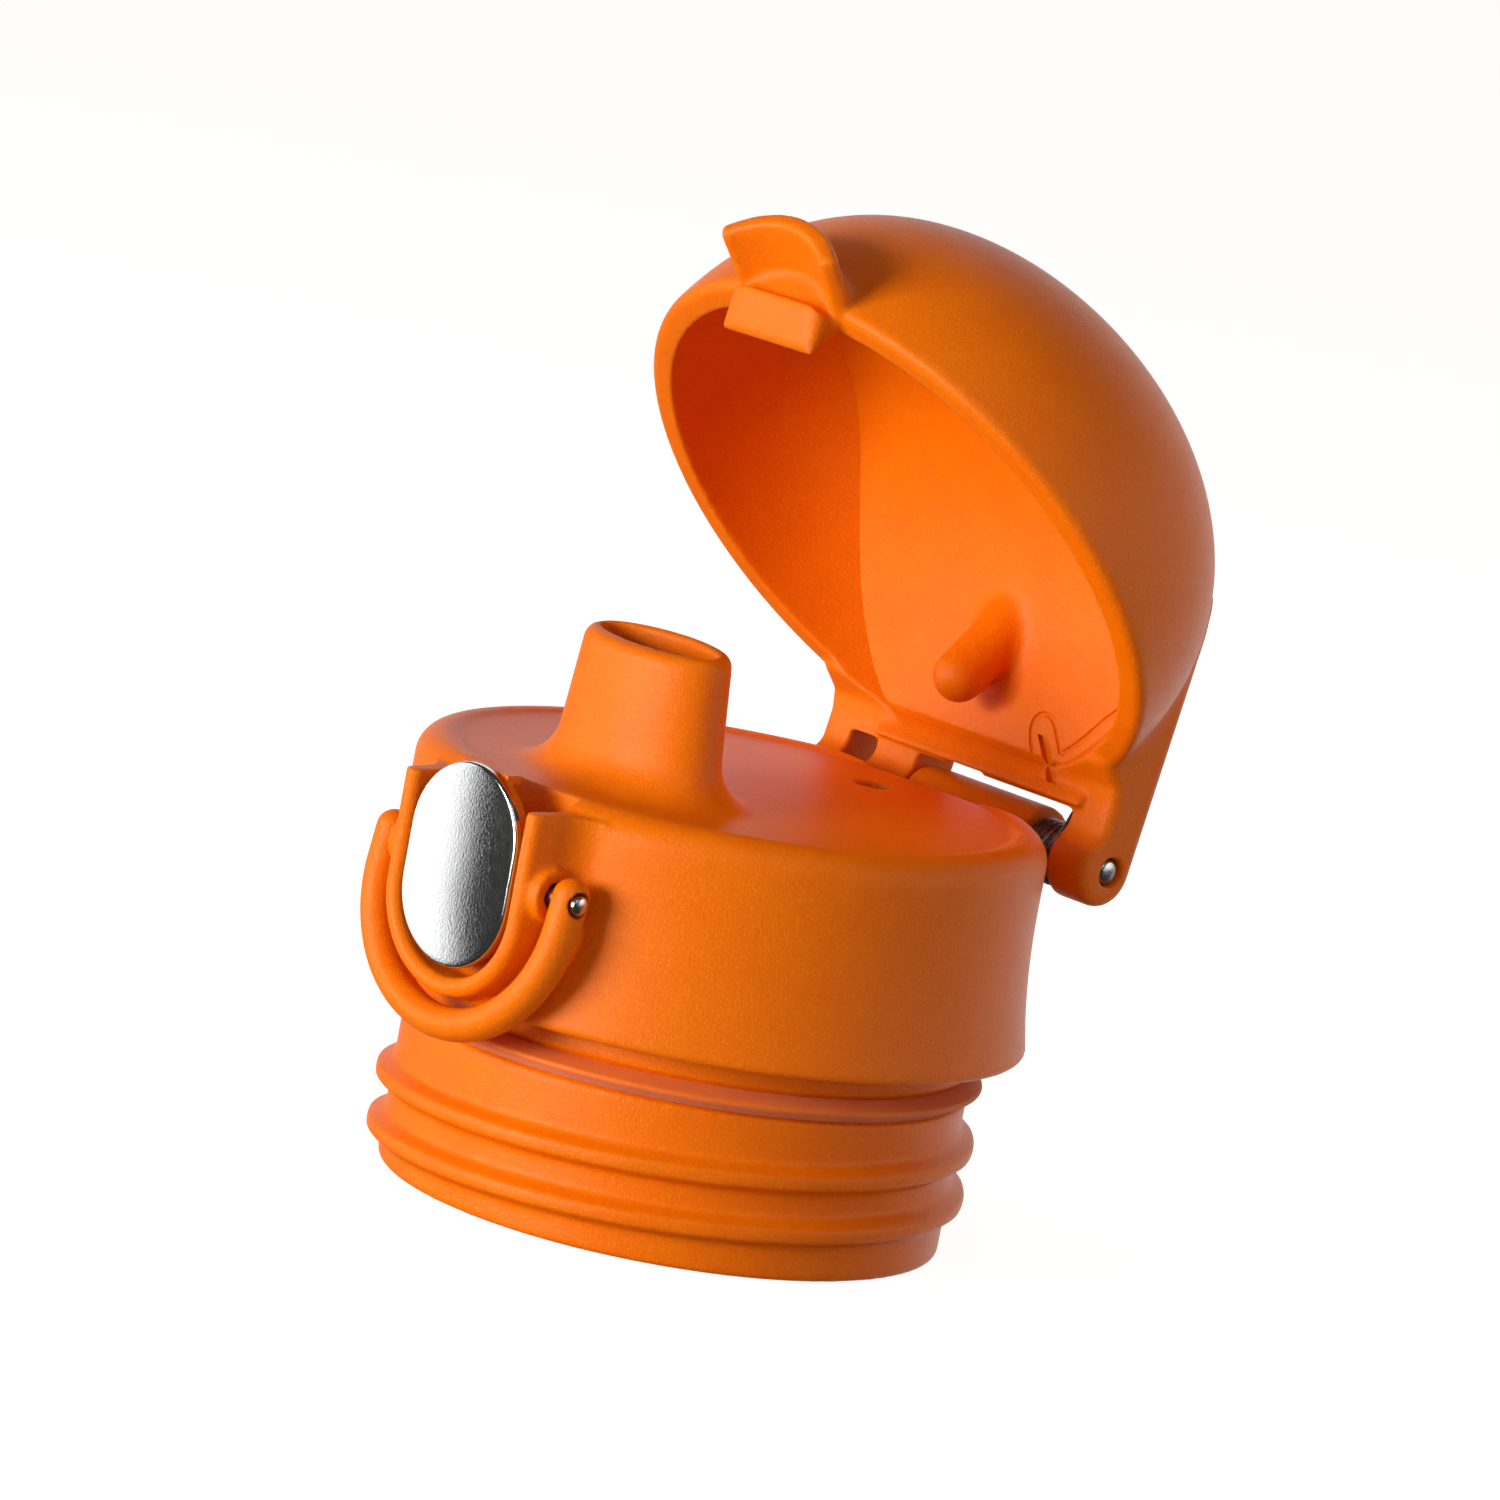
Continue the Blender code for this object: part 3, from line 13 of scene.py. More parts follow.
import bmesh
import bpy
import numpy as np
from bmesh.types import BMesh
from bpy.types import Material, Mesh, Node, NodeSocket, NodeTree, Object
from mathutils import Matrix, Vector


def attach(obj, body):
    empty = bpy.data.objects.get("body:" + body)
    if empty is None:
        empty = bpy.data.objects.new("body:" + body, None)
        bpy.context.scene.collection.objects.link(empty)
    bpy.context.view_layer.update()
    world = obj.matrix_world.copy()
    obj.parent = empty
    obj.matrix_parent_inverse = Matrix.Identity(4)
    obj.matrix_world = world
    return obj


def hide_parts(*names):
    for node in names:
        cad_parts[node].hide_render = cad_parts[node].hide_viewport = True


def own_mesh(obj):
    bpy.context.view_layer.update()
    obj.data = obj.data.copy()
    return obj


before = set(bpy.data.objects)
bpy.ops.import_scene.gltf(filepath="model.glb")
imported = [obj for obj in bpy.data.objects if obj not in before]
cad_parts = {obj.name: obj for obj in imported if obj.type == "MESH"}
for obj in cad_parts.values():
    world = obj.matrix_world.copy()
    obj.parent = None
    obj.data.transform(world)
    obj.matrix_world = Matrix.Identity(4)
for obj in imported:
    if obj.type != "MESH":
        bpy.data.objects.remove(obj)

LOG = logging.getLogger("flip_top_cap")
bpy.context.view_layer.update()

Point2 = tuple[float, float]
Point3 = tuple[float, float, float]
Colour = tuple[float, float, float]

# Facets of turned solids, of full circles, of quarter arcs, and of one turn of either coil
ROUND_STEPS = 192
RING_STEPS = 64
ARC_STEPS = 12
COIL_STEPS = 20
FINE_COIL_STEPS = 24

# Metres: points merged, what cutters run past a face, and the clearance between neighbours
WELD = 1e-7
OVERRUN = 0.004
GAP = 0.0003

# Skins: how much coarser a trial is, how far one pass pulls, and how a zone fades and follows its normals
COARSER = 1.0
PULL_SHARE = 0.5
ZONE_PULL_SHARE = 0.6
ZONE_MARGIN_SHARE = 0.2
NORMALS_EVERY = 12

# Rounded edges of a solid before it is joined
SHARP_EDGE_DEG = 40.0
BEVEL_SEGMENTS = 4

# Levels between which each noise is stretched, and how much polish and bump are left
GLOSS_LEVELS = (0.3, 0.7)
FLECK_LEVELS = (0.56, 0.72)
PATCH_LEVELS = (0.35, 0.65)
BREAK_LEVELS = (0.3, 0.6)
LEAST_POLISH = 0.35
BUMP_STRENGTH = 0.6


class Operation(Enum):
    """How a solid meets the moulding that it is given to."""

    JOIN = "UNION"
    CUT = "DIFFERENCE"
    KEEP = "INTERSECT"


class Softening(Enum):
    """What a soft zone does: rounds every edge, or only fills inside corners."""

    ROUND = "round"
    FILL = "fill"


class Slot(Enum):
    """The record's material slots that the pieces take their finish from."""

    SHELL = "orange_shell"
    RUBBER = "silicone"
    PLATE = "polished_steel"
    PIN = "pin_steel"
    SPRING = "spring_steel"


@dataclass(frozen=True)
class SoftZone:
    """A box in which a moulding is softened further."""

    low: Point3
    high: Point3
    passes: int
    kind: Softening = Softening.FILL


@dataclass(frozen=True)
class Skin:
    """How finely a moulding is skinned and how softly its edges run."""

    voxel: float
    passes: int
    triangles: int
    zones: tuple[SoftZone, ...] = ()


# Shapes


def arc_points(centre: Point2, radius: float, start_deg: float, end_deg: float,
               steps: int = ARC_STEPS) -> list[Point2]:
    """Place points along an arc.

    Args:
        centre: Middle of the arc.
        radius: Its radius.
        start_deg: Angle of the first point.
        end_deg: Angle of the last point.
        steps: Number of parts that the arc is cut into.

    Returns:
        The points, both ends included.
    """
    angles = (math.radians(start_deg + (end_deg - start_deg) * index / steps) for index in range(steps + 1))
    return [(centre[0] + radius * math.cos(angle), centre[1] + radius * math.sin(angle)) for angle in angles]


def circle(centre: Point2, radius: float, steps: int = RING_STEPS) -> list[Point2]:
    """Return the points of a full circle, its start once."""
    return arc_points(centre, radius, 0.0, 360.0, steps)[:-1]


def racetrack(half_width: float, low: float, high: float) -> list[Point2]:
    """Return an upright racetrack whose round ends centre on low and high."""
    top = arc_points((0.0, high), half_width, 0.0, 180.0, 2 * ARC_STEPS)
    return top + arc_points((0.0, low), half_width, 180.0, 360.0, 2 * ARC_STEPS)


def lathe(profile: Sequence[Point2], steps: int = ROUND_STEPS) -> BMesh:
    """Turn an outline about Z.

    Args:
        profile: Points as (radius, z). The outline is closed unless it starts on the axis.
        steps: Facets round the axis.

    Returns:
        The turned solid.
    """
    bm = bmesh.new()
    verts = [bm.verts.new((radius, 0.0, z)) for radius, z in profile]
    edges = [bm.edges.new(pair) for pair in zip(verts, verts[1:])]
    if profile[0][0] > 0.0:
        edges.append(bm.edges.new((verts[-1], verts[0])))
    bmesh.ops.spin(bm, geom=verts + edges, cent=(0.0, 0.0, 0.0), axis=(0.0, 0.0, 1.0), angle=math.tau,
                   steps=steps, use_merge=True)
    bmesh.ops.remove_doubles(bm, verts=bm.verts, dist=WELD)
    bmesh.ops.recalc_face_normals(bm, faces=bm.faces)
    return bm


def loft(rings: Sequence[Sequence[Point3]]) -> BMesh:
    """Bridge closed rings of equal length and close both ends.

    Args:
        rings: The rings in order, each a list of points.

    Returns:
        The closed solid.
    """
    bm = bmesh.new()
    loops = []
    for ring in rings:
        verts = [bm.verts.new(point) for point in ring]
        loops.append([bm.edges.new((verts[index - 1], vert)) for index, vert in enumerate(verts)])
    for lower, upper in zip(loops, loops[1:]):
        bmesh.ops.bridge_loops(bm, edges=lower + upper)
    for end in (loops[0], loops[-1]):
        bmesh.ops.edgeloop_fill(bm, edges=end)
    bmesh.ops.recalc_face_normals(bm, faces=bm.faces)
    return bm


def along_x(outline: Sequence[Point2], low: float, high: float) -> BMesh:
    """Extrude a (y, z) outline along X."""
    return loft([[(x, y, z) for y, z in outline] for x in (low, high)])


def along_y(outline: Sequence[Point2], low: float, high: float) -> BMesh:
    """Extrude an (x, z) outline along Y."""
    return loft([[(x, y, z) for x, z in outline] for y in (low, high)])


def along_z(outline: Sequence[Point2], low: float, high: float) -> BMesh:
    """Extrude an (x, y) outline along Z."""
    return loft([[(x, y, z) for x, y in outline] for z in (low, high)])


def block(x_low: float, x_high: float, y_low: float, y_high: float, z_low: float, z_high: float) -> BMesh:
    """Return a block between its limits."""
    return along_z([(x_low, y_low), (x_high, y_low), (x_high, y_high), (x_low, y_high)], z_low, z_high)


def rod(centre: Point2, radius: float, low: float, high: float) -> BMesh:
    """Return a cylinder along X about a (y, z) centre."""
    return along_x(circle(centre, radius), low, high)


def oval(half_x: float, half_y: float, centre_y: float, z: float, slope: float = 0.0) -> list[Point3]:
    """Return an oval ring at height z that rises with y by slope."""
    return [(half_x * x, centre_y + half_y * y, z + slope * half_y * y) for x, y in circle((0.0, 0.0), 1.0)]


def wire(points: Sequence[Vector], radius: float, steps: int = 10) -> BMesh:
    """Sweep a round wire along points.

    Args:
        points: The wire's centre line.
        radius: The wire's radius.
        steps: Facets round the wire.

    Returns:
        The wire with closed ends.
    """
    rings = []
    side = None
    for index, point in enumerate(points):
        along = (points[min(index + 1, len(points) - 1)] - points[max(index - 1, 0)]).normalized()
        side = along.orthogonal() if side is None else side - along * side.dot(along)
        side.normalize()
        up = along.cross(side)
        rings.append([tuple(point + side * x + up * y) for x, y in circle((0.0, 0.0), radius, steps)])
    return loft(rings)


def smooth_path(points: Sequence[Point3], steps: int = 8) -> list[Vector]:
    """Run a smooth line through points.

    Args:
        points: The places that the line passes.
        steps: Parts between two places.

    Returns:
        Points along the line.
    """
    ends = [Vector(points[0]), *map(Vector, points), Vector(points[-1])]
    path = []
    for before, start, end, after in zip(ends, ends[1:], ends[2:], ends[3:]):
        for index in range(steps):
            t = index / steps
            path.append(0.5 * (2.0 * start + (end - before) * t
                               + (2.0 * before - 5.0 * start + 4.0 * end - after) * t * t
                               + (3.0 * start - before - 3.0 * end + after) * t ** 3))
    return path + [Vector(points[-1])]


def mesh_object(name: str, bm: BMesh) -> Object:
    """Make an object of a bmesh and link it.

    Args:
        name: The object's name.
        bm: The bmesh, which is used up.

    Returns:
        The object.
    """
    mesh = bpy.data.meshes.new(name)
    bm.to_mesh(mesh)
    bm.free()
    item = bpy.data.objects.new(name, mesh)
    bpy.context.scene.collection.objects.link(item)
    return item


def settle(item: Object) -> None:
    """Apply an object's modifiers to its mesh.

    Args:
        item: The object.
    """
    bpy.context.view_layer.update()
    result = bpy.data.meshes.new_from_object(item.evaluated_get(bpy.context.evaluated_depsgraph_get()))
    item.modifiers.clear()
    item.data = result


def smooth_faces(item: Object, angle_deg: float = 180.0) -> None:
    """Shade an object smooth, with edges sharper than an angle kept."""
    item.data.shade_smooth()
    if angle_deg < 180.0:
        item.data.set_sharp_from_angle(angle=math.radians(angle_deg))


def in_zone(place: np.ndarray, zone: SoftZone) -> np.ndarray:
    """Return how far each point lies inside a zone, 0 at its faces and 1 well inside."""
    low, high = np.array(zone.low), np.array(zone.high)
    depth = np.minimum(place - low, high - place) / (ZONE_MARGIN_SHARE * (high - low))
    return np.clip(depth.min(axis=1), 0.0, 1.0)


def soften(mesh: Mesh, passes: int, zones: Iterable[SoftZone]) -> None:
    """Smooth a finely skinned mesh all over, then its zones.

    Args:
        mesh: The mesh, whose points are moved.
        passes: Passes over the whole mesh.
        zones: Boxes that are rounded or filled further.
    """
    count = len(mesh.vertices)
    flat = np.empty(count * 3, np.float32)
    mesh.vertices.foreach_get("co", flat)
    place = flat.reshape(-1, 3).astype(float)
    ends = np.empty(len(mesh.edges) * 2, np.int32)
    mesh.edges.foreach_get("vertices", ends)
    first, second = ends.reshape(-1, 2).T
    links = np.maximum(np.bincount(ends, minlength=count), 1)[:, None]

    def pull() -> np.ndarray:
        """Return the way from each point to the middle of its neighbours."""
        total = np.stack([np.bincount(first, place[second, axis], count)
                          + np.bincount(second, place[first, axis], count) for axis in range(3)], axis=1)
        return total / links - place

    for _ in range(passes):
        place += PULL_SHARE * pull()
    for zone in zones:
        share = in_zone(place, zone)[:, None]
        for index in range(zone.passes):
            if index % NORMALS_EVERY == 0:
                mesh.vertices.foreach_set("co", place.astype(np.float32).ravel())
                mesh.update()
                mesh.vertex_normals.foreach_get("vector", flat)
                normals = flat.reshape(-1, 3).astype(float)
            way = pull()
            if zone.kind is Softening.FILL:
                way *= ((way * normals).sum(axis=1) > 0.0)[:, None]
            place += ZONE_PULL_SHARE * share * way
    mesh.vertices.foreach_set("co", place.astype(np.float32).ravel())
    mesh.update()


class Moulding:
    """One moulded piece, joined and cut from plain solids and then skinned."""

    def __init__(self, name: str, start: BMesh) -> None:
        """Start a moulding from its largest solid."""
        self.name = name
        self.item = mesh_object(name, start)
        self.tools: list[Object] = []

    def apply(self, bm: BMesh, operation: Operation, edge: float = 0.0) -> "Moulding":
        """Join, cut or keep a solid.

        Args:
            bm: The solid.
            operation: What it does to the moulding.
            edge: Radius that its own sharp edges are rounded by.

        Returns:
            The moulding itself, so that steps may follow on.
        """
        if edge > 0.0:
            sharp = [e for e in bm.edges if e.calc_face_angle(0.0) > math.radians(SHARP_EDGE_DEG)]
            bmesh.ops.bevel(bm, geom=sharp, offset=edge, affect="EDGES", segments=BEVEL_SEGMENTS, profile=0.5,
                            material=-1)
        tool = mesh_object(f"{self.name}_{operation.name.lower()}_{len(self.tools)}", bm)
        modifier = self.item.modifiers.new(tool.name, "BOOLEAN")
        modifier.operation = operation.value
        modifier.solver = "EXACT"
        modifier.object = tool
        self.tools.append(tool)
        return self

    def join(self, bm: BMesh, edge: float = 0.0) -> "Moulding":
        """Join a solid to the moulding."""
        return self.apply(bm, Operation.JOIN, edge)

    def cut(self, bm: BMesh, edge: float = 0.0) -> "Moulding":
        """Cut a solid out of the moulding."""
        return self.apply(bm, Operation.CUT, edge)

    def clear_tools(self) -> None:
        """Remove the solids that have done their work."""
        for tool in self.tools:
            bpy.data.objects.remove(tool, do_unlink=True)
        self.tools.clear()

    def skin(self, skin: Skin) -> "Moulding":
        """Skin the moulding with small faces and soften it.

        Args:
            skin: Fineness, softness and the most triangles.

        Returns:
            The moulding itself.
        """
        remesh = self.item.modifiers.new("skin", "REMESH")
        remesh.mode = "VOXEL"
        remesh.voxel_size = skin.voxel * COARSER
        settle(self.item)
        self.clear_tools()
        soften(self.item.data, skin.passes, skin.zones)
        triangles = sum(len(face.vertices) - 2 for face in self.item.data.polygons)
        if triangles > skin.triangles:
            thin = self.item.modifiers.new("thin", "DECIMATE")
            thin.ratio = skin.triangles / triangles
            settle(self.item)
        return self

    def done(self, turn: Matrix | None = None, sharp_deg: float = 180.0) -> Object:
        """Apply what is left, turn the piece to its place and shade it.

        Args:
            turn: Where the piece stands at rest, if it was shaped elsewhere.
            sharp_deg: Edges sharper than this stay crisp.

        Returns:
            The finished piece.
        """
        if self.item.modifiers:
            settle(self.item)
            self.clear_tools()
        if turn is not None:
            self.item.data.transform(turn)
        smooth_faces(self.item, sharp_deg)
        return self.item


def dress(item: Object, material: Material, body: str, slot: Slot, *nodes: str) -> Object:
    """Give a piece its material, its body and the nodes that it stands for.

    Args:
        item: The piece.
        material: Its finish.
        body: The body that it rides on.
        slot: The record's slot of that finish; not used.
        nodes: The solids that it replaces.

    Returns:
        The piece.
    """
    item.data.materials.clear()
    item.data.materials.append(material)
    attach(item, body)
    if nodes:
        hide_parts(*nodes)
    LOG.info("%s: %d faces on %s", item.name, len(item.data.polygons), body)
    return item


# Materials


@dataclass
class NodeBench:
    """Places and joins the nodes of one tree."""

    tree: NodeTree

    def add(self, kind: str, **values: object) -> Node:
        """Add a node and set its values.

        Args:
            kind: The node's type name without its prefix.
            values: Settings by name, or socket values by the socket's name with _ for each space.

        Returns:
            The node.
        """
        node = self.tree.nodes.new("ShaderNode" + kind)
        for name, value in values.items():
            if hasattr(node, name):
                setattr(node, name, value)
            else:
                node.inputs[name.replace("_", " ")].default_value = value
        return node

    def link(self, start: NodeSocket, end: NodeSocket) -> None:
        """Join two sockets."""
        self.tree.links.new(start, end)

    def scaled(self, value: NodeSocket, low: float, high: float, to_low: float, to_high: float) -> NodeSocket:
        """Map a value from one range to another and return the result's socket."""
        node = self.add("MapRange", From_Min=low, From_Max=high, To_Min=to_low, To_Max=to_high)
        self.link(value, node.inputs["Value"])
        return node.outputs["Result"]

    def mixed(self, share: NodeSocket, start: NodeSocket | Colour, end: NodeSocket | Colour) -> NodeSocket:
        """Mix two colours.

        Args:
            share: How much of the second colour shows.
            start: The first colour, or its socket.
            end: The second colour, or its socket.

        Returns:
            The mixed colour's socket.
        """
        node = self.add("Mix", data_type="RGBA")
        self.link(share, node.inputs[0])
        for socket, colour in ((node.inputs[6], start), (node.inputs[7], end)):
            if isinstance(colour, NodeSocket):
                self.link(colour, socket)
            else:
                socket.default_value = (*colour, 1.0)
        return node.outputs[2]


def new_group(name: str, inputs: dict[str, float | None],
              outputs: Sequence[str]) -> tuple[NodeTree, NodeBench, Node, Node]:
    """Start a shader node group with named sockets.

    Args:
        name: The group's name.
        inputs: Default values by socket name, None for a vector.
        outputs: Names of the value sockets that it puts out.

    Returns:
        The group, its bench, its input node and its output node.
    """
    group = bpy.data.node_groups.new(name, "ShaderNodeTree")
    for socket, value in inputs.items():
        kind = "NodeSocketVector" if value is None else "NodeSocketFloat"
        made = group.interface.new_socket(socket, in_out="INPUT", socket_type=kind)
        if value is not None:
            made.default_value = value
    for socket in outputs:
        group.interface.new_socket(socket, in_out="OUTPUT", socket_type="NodeSocketFloat")
    return group, NodeBench(group), group.nodes.new("NodeGroupInput"), group.nodes.new("NodeGroupOutput")


def spark_grain_group() -> NodeTree:
    """Build the spark-eroded grain: a fine height, bright flecks and slow patches.

    Returns:
        The group. Its scale counts grains in a metre; flecks and patches are larger by their own scales.
    """
    group, bench, given, made = new_group("spark_grain", {"Vector": None, "Scale": 3600.0},
                                          ("Height", "Fleck", "Patch"))
    spread = bench.add("VectorMath", operation="SCALE")
    bench.link(given.outputs["Vector"], spread.inputs[0])
    bench.link(given.outputs["Scale"], spread.inputs["Scale"])
    fine = bench.add("TexNoise", Scale=1.0, Detail=3.0, Roughness=0.62)
    fleck = bench.add("TexNoise", Scale=0.83, Detail=1.0, Roughness=0.5)
    patch = bench.add("TexNoise", Scale=0.045, Detail=2.0, Roughness=0.5)
    for node in (fine, fleck, patch):
        bench.link(spread.outputs[0], node.inputs["Vector"])
    bench.link(fine.outputs["Fac"], made.inputs["Height"])
    bench.link(bench.scaled(fleck.outputs["Fac"], *FLECK_LEVELS, 0.0, 1.0), made.inputs["Fleck"])
    bench.link(bench.scaled(patch.outputs["Fac"], *PATCH_LEVELS, 0.0, 1.0), made.inputs["Patch"])
    return group


def edge_polish_group() -> NodeTree:
    """Build the mask of handled edges, broken up by a noise.

    Returns:
        The group, whose mask rises where the surface is bent outwards between its two levels.
    """
    levels = {"Vector": None, "Start": 0.52, "End": 0.60}
    group, bench, given, made = new_group("edge_polish", levels, ("Mask",))
    geometry = bench.add("NewGeometry")
    ramp = bench.add("MapRange")
    bench.link(geometry.outputs["Pointiness"], ramp.inputs["Value"])
    bench.link(given.outputs["Start"], ramp.inputs["From Min"])
    bench.link(given.outputs["End"], ramp.inputs["From Max"])
    noise = bench.add("TexNoise", Scale=420.0, Detail=3.0, Roughness=0.6)
    bench.link(given.outputs["Vector"], noise.inputs["Vector"])
    broken = bench.add("Math", operation="MULTIPLY")
    bench.link(ramp.outputs["Result"], broken.inputs[0])
    bench.link(bench.scaled(noise.outputs["Fac"], *BREAK_LEVELS, LEAST_POLISH, 1.0), broken.inputs[1])
    bench.link(broken.outputs[0], made.inputs["Mask"])
    return group


@dataclass(frozen=True)
class Finish:
    """One finish: its colours, its gloss and its grain."""

    name: str
    colour: Colour
    deep: Colour
    pale: Colour
    roughness: float
    roughness_spread: float
    grain_scale: float
    grain_depth: float
    fleck: float
    metallic: float = 0.0
    specular: float = 0.5
    sheen: float = 0.0
    coat: float = 0.0
    wear: float = 0.12

    def build(self, grain: NodeTree, polish: NodeTree) -> Material:
        """Make the material.

        Args:
            grain: The spark_grain group.
            polish: The edge_polish group.

        Returns:
            The material.
        """
        material = bpy.data.materials.new(self.name)
        material.use_nodes = True
        bench = NodeBench(material.node_tree)
        shader = material.node_tree.nodes["Principled BSDF"]
        place = bench.add("TexCoord")
        texture = bench.add("Group", node_tree=grain)
        texture.inputs["Scale"].default_value = self.grain_scale
        edges = bench.add("Group", node_tree=polish)
        for node in (texture, edges):
            bench.link(place.outputs["Object"], node.inputs["Vector"])
        tone = bench.mixed(texture.outputs["Patch"], self.deep, self.colour)
        flecks = bench.scaled(texture.outputs["Fleck"], 0.0, 1.0, 0.0, self.fleck)
        tone = bench.mixed(flecks, tone, self.pale)
        worn = bench.scaled(edges.outputs["Mask"], 0.0, 1.0, 0.0, self.wear)
        bench.link(bench.mixed(worn, tone, self.pale), shader.inputs["Base Color"])
        low, high = self.roughness - self.roughness_spread, self.roughness + self.roughness_spread
        gloss = bench.scaled(texture.outputs["Height"], *GLOSS_LEVELS, high, low)
        bench.link(gloss, shader.inputs["Roughness"])
        bump = bench.add("Bump", Strength=BUMP_STRENGTH, Distance=self.grain_depth)
        bench.link(texture.outputs["Height"], bump.inputs["Height"])
        bench.link(bump.outputs["Normal"], shader.inputs["Normal"])
        shader.inputs["Metallic"].default_value = self.metallic
        shader.inputs["Specular IOR Level"].default_value = self.specular
        shader.inputs["Sheen Weight"].default_value = self.sheen
        shader.inputs["Coat Weight"].default_value = self.coat
        return material


@dataclass(frozen=True)
class Finishes:
    """Every finish of the cap."""

    shell: Finish = Finish(
        "spark_grained_orange", (0.83, 0.160, 0.0), (0.82, 0.148, 0.0), (0.90, 0.27, 0.004),
        roughness=0.36, roughness_spread=0.12, grain_scale=4200.0, grain_depth=0.00014,
        fleck=0.45, specular=0.2)
    rubber: Finish = Finish(
        "orange_silicone", (0.80, 0.16, 0.006), (0.74, 0.135, 0.005), (0.90, 0.30, 0.06),
        roughness=0.62, roughness_spread=0.06, grain_scale=2200.0, grain_depth=0.00003,
        fleck=0.15, sheen=0.15)
    plate: Finish = Finish(
        "satin_steel_plate", (0.86, 0.86, 0.87), (0.83, 0.83, 0.84), (0.95, 0.95, 0.95),
        roughness=0.10, roughness_spread=0.04, grain_scale=3600.0, grain_depth=0.00002,
        fleck=0.2, metallic=1.0)
    pin: Finish = Finish(
        "turned_steel_pin", (0.66, 0.65, 0.64), (0.55, 0.54, 0.53), (0.85, 0.85, 0.85),
        roughness=0.24, roughness_spread=0.06, grain_scale=5200.0, grain_depth=0.00002,
        fleck=0.3, metallic=1.0)
    spring: Finish = Finish(
        "dark_spring_steel", (0.20, 0.20, 0.21), (0.10, 0.10, 0.11), (0.60, 0.60, 0.62),
        roughness=0.32, roughness_spread=0.10, grain_scale=5200.0, grain_depth=0.00003,
        fleck=0.6, metallic=1.0)

    def build(self) -> dict[Slot, Material]:
        """Make every material.

        Returns:
            The materials by the slot that they fill.
        """
        grain, polish = spark_grain_group(), edge_polish_group()
        rows = ((Slot.SHELL, self.shell), (Slot.RUBBER, self.rubber), (Slot.PLATE, self.plate),
                (Slot.PIN, self.pin), (Slot.SPRING, self.spring))
        return {slot: finish.build(grain, polish) for slot, finish in rows}


# Sub-assemblies


@dataclass(frozen=True)
class Axes:
    """The joint axes, which run along X, and how far each body is turned at rest."""

    hinge_y: float = 0.03475
    hinge_z: float = 0.03976
    lid_open_deg: float = 48.8
    latch_y: float = -0.0330
    latch_z: float = 0.0349
    loop_tilt_deg: float = -7.8

    @staticmethod
    def turn(y: float, z: float, angle_deg: float) -> Matrix:
        """Return the turn about an axis along X through (y, z)."""
        return (Matrix.Translation((0.0, y, z)) @ Matrix.Rotation(math.radians(angle_deg), 4, "X")
                @ Matrix.Translation((0.0, -y, -z)))

    def lid_turn(self) -> Matrix:
        """Return the turn from the shut lid to the lid at rest."""
        return self.turn(self.hinge_y, self.hinge_z, -self.lid_open_deg)

    def loop_turn(self) -> Matrix:
        """Return the turn from the upright loop to the loop at rest."""
        return self.turn(self.latch_y, self.latch_z, self.loop_tilt_deg)


